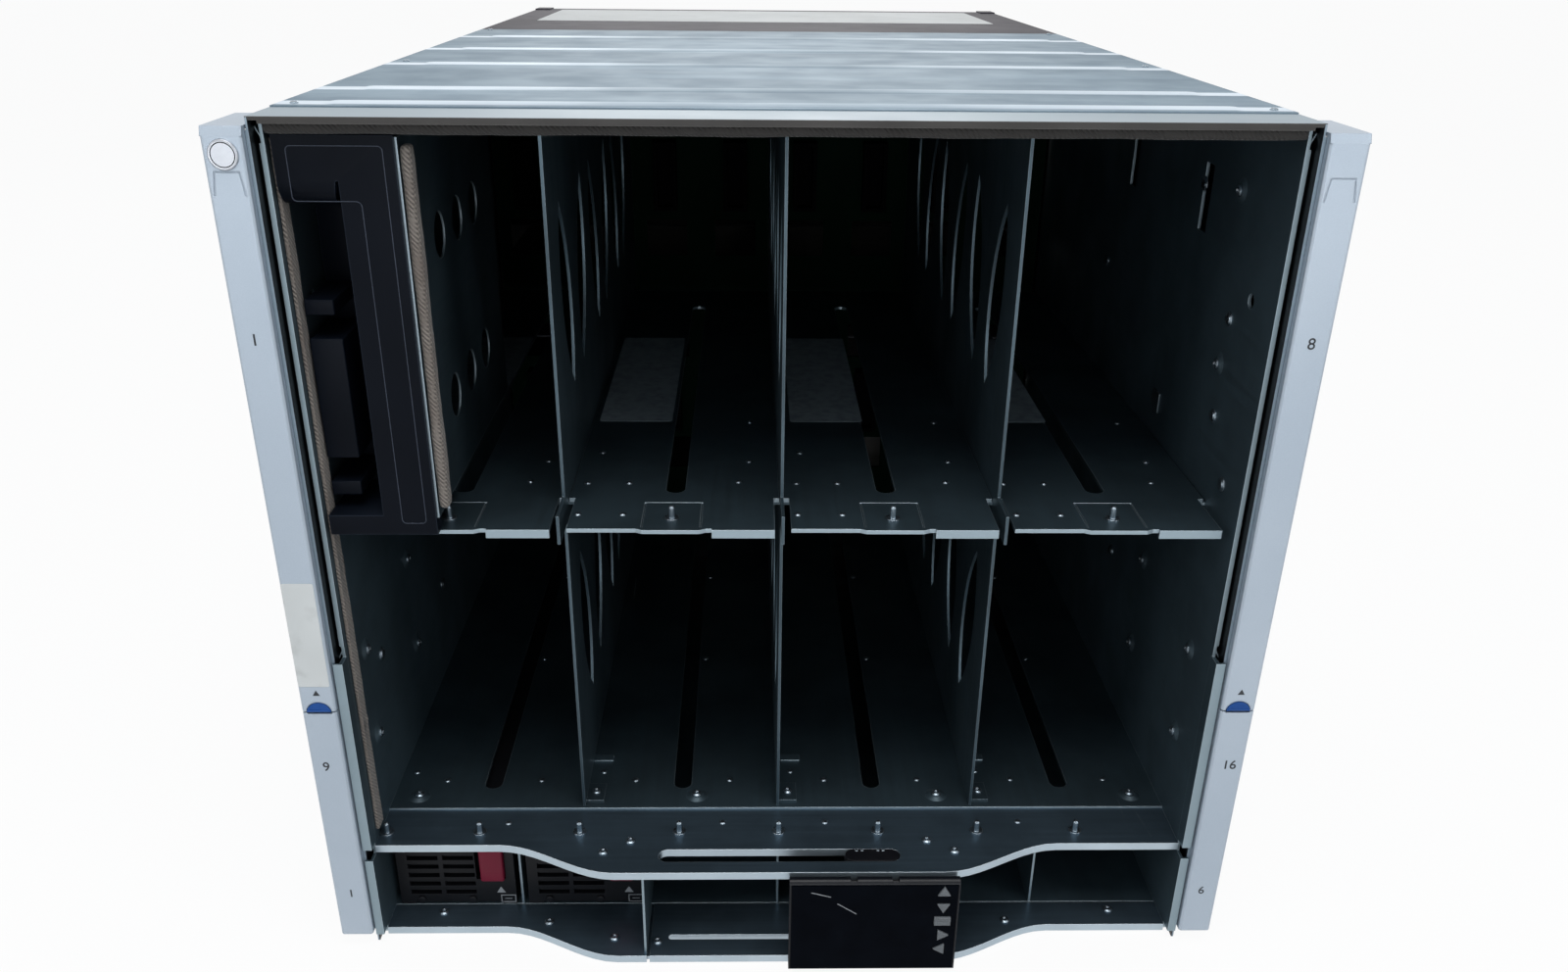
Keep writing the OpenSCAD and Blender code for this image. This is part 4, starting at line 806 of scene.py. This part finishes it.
# The corner of the grip runs up in a narrow point beside the rail
point = block("point", (rail - 4.5, front - 12, high.z - 34),
              (rail - 0.01, high.y - 6, high.z - 19))
for vertex in point.data.vertices:
    if vertex.co.z > (high.z - 25) / 1000 and vertex.co.x < (rail - 2) / 1000:
        vertex.co.x = (rail - 1.2) / 1000
cut(blank, point)
cut(blank, block("pin_notch", (high.x - 2.5, 15, low.z - 1), (high.x + 1, 53, 255.4)))
# The head's lower front edge is rolled back, and every sharp edge is rounded a little
pick_edges(blank, lambda a, b: abs(a.z - head) < 0.2 and abs(b.z - a.z) < 0.2
           and a.y < front + 1 and b.y < front + 1)
bpy.ops.mesh.bevel(offset=0.011, segments=8)
bpy.ops.object.mode_set(mode="OBJECT")
pick_up(blank)
rounding = blank.modifiers.new("round", "BEVEL")
rounding.width, rounding.segments, rounding.angle_limit = 0.0008, 3, math.radians(30)
rounding.harden_normals = False
bpy.ops.object.modifier_apply(modifier="round")
bpy.ops.object.shade_smooth_by_angle(angle=math.radians(42))

# One fine raised line runs round the head and down the rail
line_low = Vector((low.x + 34.5, 0, low.z + 5.8))
line_high = Vector((high.x - 4.7, 0, high.z - 4.2))
line_head = high.z - 27.5
middle = (line_low + line_high) / 2000
bpy.ops.object.select_all(action="DESELECT")
bpy.ops.mesh.primitive_plane_add(size=1, rotation=(math.pi / 2, 0, 0),
                                 location=(middle.x, front / 1000, middle.z))
line = bpy.context.object
line.name = line.data.name = "face_line"
line.scale = ((line_high.x - line_low.x) / 1000, (line_high.z - line_low.z) / 1000, 1)
bpy.ops.object.transform_apply(location=True, rotation=True, scale=True)
bpy.ops.object.mode_set(mode="EDIT")
bpy.ops.mesh.select_all(action="SELECT")
bpy.ops.mesh.bisect(plane_co=(0, 0, line_head / 1000), plane_no=(0, 0, 1))
bpy.ops.object.mode_set(mode="OBJECT")
pick_edges(line, lambda a, b: max(a.x, b.x) < line_low.x + 0.1
           and min(a.z, b.z) > line_head - 0.1)
bpy.ops.mesh.extrude_region_move(
    TRANSFORM_OT_translate={"value": ((low.x + 5.4 - line_low.x) / 1000, 0, 0)})
bpy.ops.mesh.select_mode(type="FACE")
bpy.ops.mesh.select_all(action="SELECT")
bpy.ops.mesh.dissolve_faces()
bpy.ops.mesh.select_all(action="SELECT")
bpy.ops.mesh.bevel(offset=0.0022, segments=5, affect="VERTICES")
bpy.ops.mesh.select_all(action="SELECT")
bpy.ops.mesh.inset(thickness=0.0004, depth=0)
bpy.ops.mesh.delete(type="FACE")
bpy.ops.object.mode_set(mode="OBJECT")
wall = line.modifiers.new("wall", "SOLIDIFY")
wall.thickness, wall.offset = 0.0004, 0
bpy.ops.object.modifier_apply(modifier="wall")
# The raised line is painted lighter than the blank, as a painted highlight
line_highlight_black = moulded("blank_line_highlight", (0.016, 0.021, 0.034, 1), (0.10, 0.12, 0.16, 1), 0.34,
                     edge=0.6, gleam=0.2)
fit(line, line_highlight_black, "blank")
fit(blank, blank_black, "blank")
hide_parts("blade_blank")

# Ribs and the finger block stand inside the hollow
for name, bottom, top, width in (("grip_rib_upper", 353, 360, 11), ("grip_block", 284, 342, 13),
                                 ("grip_rib_lower", 265, 272, 12)):
    rib = block(name, (low.x + 0.4, front + 9, bottom),
                (low.x + 2.5 + width, high.y - 2.2, top), 0.7)
    fit(rib, blank_black, "blank")

# ---------------------------------------------------------------- display
# A thin moulded display with a gloss-black window hangs from a coated slider in the apron.
# It carries five grey moulded keys.

slider_black = coated("slider_black", (0.005, 0.005, 0.007, 1), (0.07, 0.07, 0.08, 1), 0.4)
dress(slider_black, "display_slider")
housing_black = moulded("display_black", (0.005, 0.006, 0.009, 1), (0.07, 0.07, 0.085, 1), 0.32)
dress(housing_black, "display_housing")
gloss = Finish("display_gloss", Specular_IOR_Level=0.02)
smear = gloss.cloud(0.018, 4)
gloss.give("Base Color", gloss.blend(gloss.between(smear, 0.3, 0.8),
                                     (0.0006, 0.0012, 0.0028, 1), (0.0014, 0.0024, 0.0048, 1)))
gloss.give("Roughness", (0.18 + gloss.between(smear, 0.45, 0.8) * 0.16).held())
gloss.relief(smear, 0.00001)
dress(gloss, "display_lens")

# The middle key has three lines sunk into it. The others are three-sided, and each has its
# height and the way its tip points.
key_grey = moulded("key_grey", (0.13, 0.14, 0.15, 1), (0.34, 0.36, 0.39, 1), 0.4)
key_x, key_radius = 0.0865, 0.004
tipped_keys = {1: (0.0554, math.pi / 2), 2: (0.0458, -math.pi / 2),
               4: (0.0266, 0), 5: (0.017, math.pi)}
for order in range(1, 6):
    node = "display_button_%d" % order
    low, high = corners(node)
    if order in tipped_keys:
        key_z, tip = tipped_keys[order]
        centre = Vector((key_x, (low.y + high.y) / 2000, key_z))
        bpy.ops.object.select_all(action="DESELECT")
        bpy.ops.mesh.primitive_circle_add(vertices=3, radius=key_radius, fill_type="NGON",
                                          location=(0, 0, 0))
        key = bpy.context.object
        key.name = key.data.name = "key_%d" % order
        for third, vertex in enumerate(key.data.vertices):
            turn = tip + third * math.tau / 3
            vertex.co = centre + Vector((key_radius * math.cos(turn), (high.y - low.y) / 2000,
                                         key_radius * math.sin(turn)))
        bpy.ops.object.mode_set(mode="EDIT")
        bpy.ops.mesh.select_all(action="SELECT")
        bpy.ops.mesh.extrude_region_move(
            TRANSFORM_OT_translate={"value": (0, (low.y - high.y) / 1000, 0)})
        bpy.ops.mesh.select_all(action="SELECT")
        bpy.ops.mesh.normals_make_consistent(inside=False)
        bpy.ops.mesh.bevel(offset=0.0004, segments=3)
        bpy.ops.object.mode_set(mode="OBJECT")
        bpy.ops.object.shade_smooth_by_angle(angle=math.radians(38))
    else:
        key = block("key_3", low, high, 0.45, 3)
        lines = [block("line", (low.x + 1.6, low.y - 0.02, low.z + up),
                       (high.x - 1.6, low.y + 0.3, low.z + up + 0.35)) for up in (1.7, 2.7, 3.7)]
        for line in lines:
            cut(key, line)
    fit(key, key_grey, "button_%d" % order)
    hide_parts(node)

# Two pale scuffs on the glass, and the slider's four rivets
scuffs = []
for x, z, length, slope in ((21.6, 54.0, 11.0, 0.28), (35.5, 44.5, 12.5, 0.60)):
    mark = block("scuff", (-length / 2, -26.42, -0.28), (length / 2, -26.3, 0.28), 0.05, 1)
    mark.data.transform(Matrix.Translation((x / 1000, 0, z / 1000))
                        @ Matrix.Rotation(slope, 4, "Y"))
    scuffs.append(mark)
fit(joined("glass_scuffs", scuffs), print_grey, "display")
top = corners("display_slider")[1].z
slider_rivets = [block("dot", (x - 0.8, -1.2, top - 0.3), (x + 0.8, 0.4, top + 0.25), 0.24, 3)
                 for x in (41.9, 44.8, 53.4, 56.2)]
fit(joined("slider_rivets", slider_rivets), pin_steel, "slider")

# ---------------------------------------------------------------- rear
# A coated sheet steel cage at the back holds the fans, the management row and the power
# inlets. Screwed covers close its empty places.

cage_coat = coated("cage_coat", (0.030, 0.033, 0.042, 1), (0.18, 0.19, 0.22, 1), 0.42)
dress(cage_coat, "rear_cage")
inside_black = (0.004, 0.004, 0.005, 1)
divider_coat = coated("divider_coat", inside_black, (0.03, 0.03, 0.035, 1), 0.6, gleam=0.04)
dress(divider_coat, "rear_dividers")
grey_coat = coated("grey_coat", (0.10, 0.105, 0.115, 1), (0.3, 0.31, 0.33, 1), 0.4)
# Only the outer faces keep the grey: the faces further in are painted near black, as painted shade
# inside the modules
outward = grey_coat.part(grey_coat.place, 1)
grey_coat.over(grey_coat.between(-outward, -0.79, -0.78), inside_black)
dress(grey_coat, "interconnect_blanks", "fan_blanks", "management_modules", "power_inlet_panel")
fan_black = moulded("fan_black", (0.016, 0.017, 0.020, 1), (0.1, 0.1, 0.11, 1), 0.42)
dress(fan_black, "fan_modules", "fan_rotor_1", "fan_rotor_2", "fan_rotor_3", "fan_rotor_4")
dress(black_plastic, "power_inlets")

# Knurled thumb screws hold the covers, one modelled and set out over the back
back_y = corners("rear_cage")[1].y
thumb = drum("thumb", 24, 0.0032, 0.003, (0, back_y / 1000 + 0.0015, 0), -math.pi / 2)
for count, vertex in enumerate(thumb.data.vertices):
    if count % 4 < 2:
        vertex.co.x *= 0.93
        vertex.co.z *= 0.93
pick_faces(thumb, lambda n: n.y > 0.9)
bpy.ops.mesh.inset(thickness=0.0005, depth=0.0003)
bpy.ops.mesh.inset(thickness=0.0012, depth=-0.0004)
bpy.ops.object.mode_set(mode="OBJECT")
bpy.ops.object.shade_smooth_by_angle(angle=math.radians(30))
low, high = corners("interconnect_blanks")
row = (high.z - low.z + 2.4) / 4
spots = [(side * (110 + out), 0, low.z + (level + 0.5) * row - 1.2)
         for side in (-1, 1) for out in (-100, 100) for level in range(4)]
low, high = corners("fan_blanks")
fan_pitch = 87.6
for centre in (low.z + 51, high.z - 51):
    spots += [(column * fan_pitch + out, 0, centre + up)
              for column in range(3) for out, up in ((-36, -44), (36, 44))]
thumbs = joined("cover_thumb_screws", [again(thumb, "thumb", *spot) for spot in spots])
fit(thumbs, pin_steel, "chassis")
bpy.data.objects.remove(thumb)

# Plated port shells with their contacts, in the management row
brass = rolled_steel("contact_brass", (0.62, 0.44, 0.16, 1), (0.9, 0.75, 0.4, 1), 0.3, 1.0)
low, high = corners("management_modules")
middle = (low.z + high.z) / 2
for port, x in enumerate((-147.25, -127.75, -19.5, 4.5), 1):
    shell = block("port_shell_%d" % port, (x + 0.1, back_y - 10, middle - 5.9),
                  (x + 14.9, back_y + 0.5, middle + 6.9), 0.3, 2)
    cut(shell, block("mouth", (x + 0.8, back_y - 9, middle - 5.2),
                     (x + 14.2, back_y + 2, middle + 6.2)))
    fit(shell, pin_steel, "chassis")
    pins = [block("pin", (x + 3 + pin * 1.15, back_y - 9, middle + 4.9),
                  (x + 3.5 + pin * 1.15, back_y - 2.5, middle + 5.4), 0.1, 1) for pin in range(8)]
    fit(joined("port_contacts_%d" % port, pins), brass, "chassis")

# Unlit status lights beside the ports and on each fan
clear_green = moulded("light_lens", (0.02, 0.09, 0.045, 1), (0.2, 0.4, 0.28, 1), 0.2)
lights = [block("light", (x, back_y - 0.3, middle - 3), (x + 2.2, back_y + 0.6, middle - 0.8), 0.5)
          for x in (-160, -30, 24)]
low, high = corners("fan_modules")
lights += [block("light", (x + 33, high.y - 2.3, z), (x + 36.5, high.y - 1.4, z + 1.8), 0.4)
           for x in (-2 * fan_pitch, -fan_pitch) for z in (low.z + 4, high.z - 98)]
fit(joined("status_lights", lights), clear_green, "chassis")
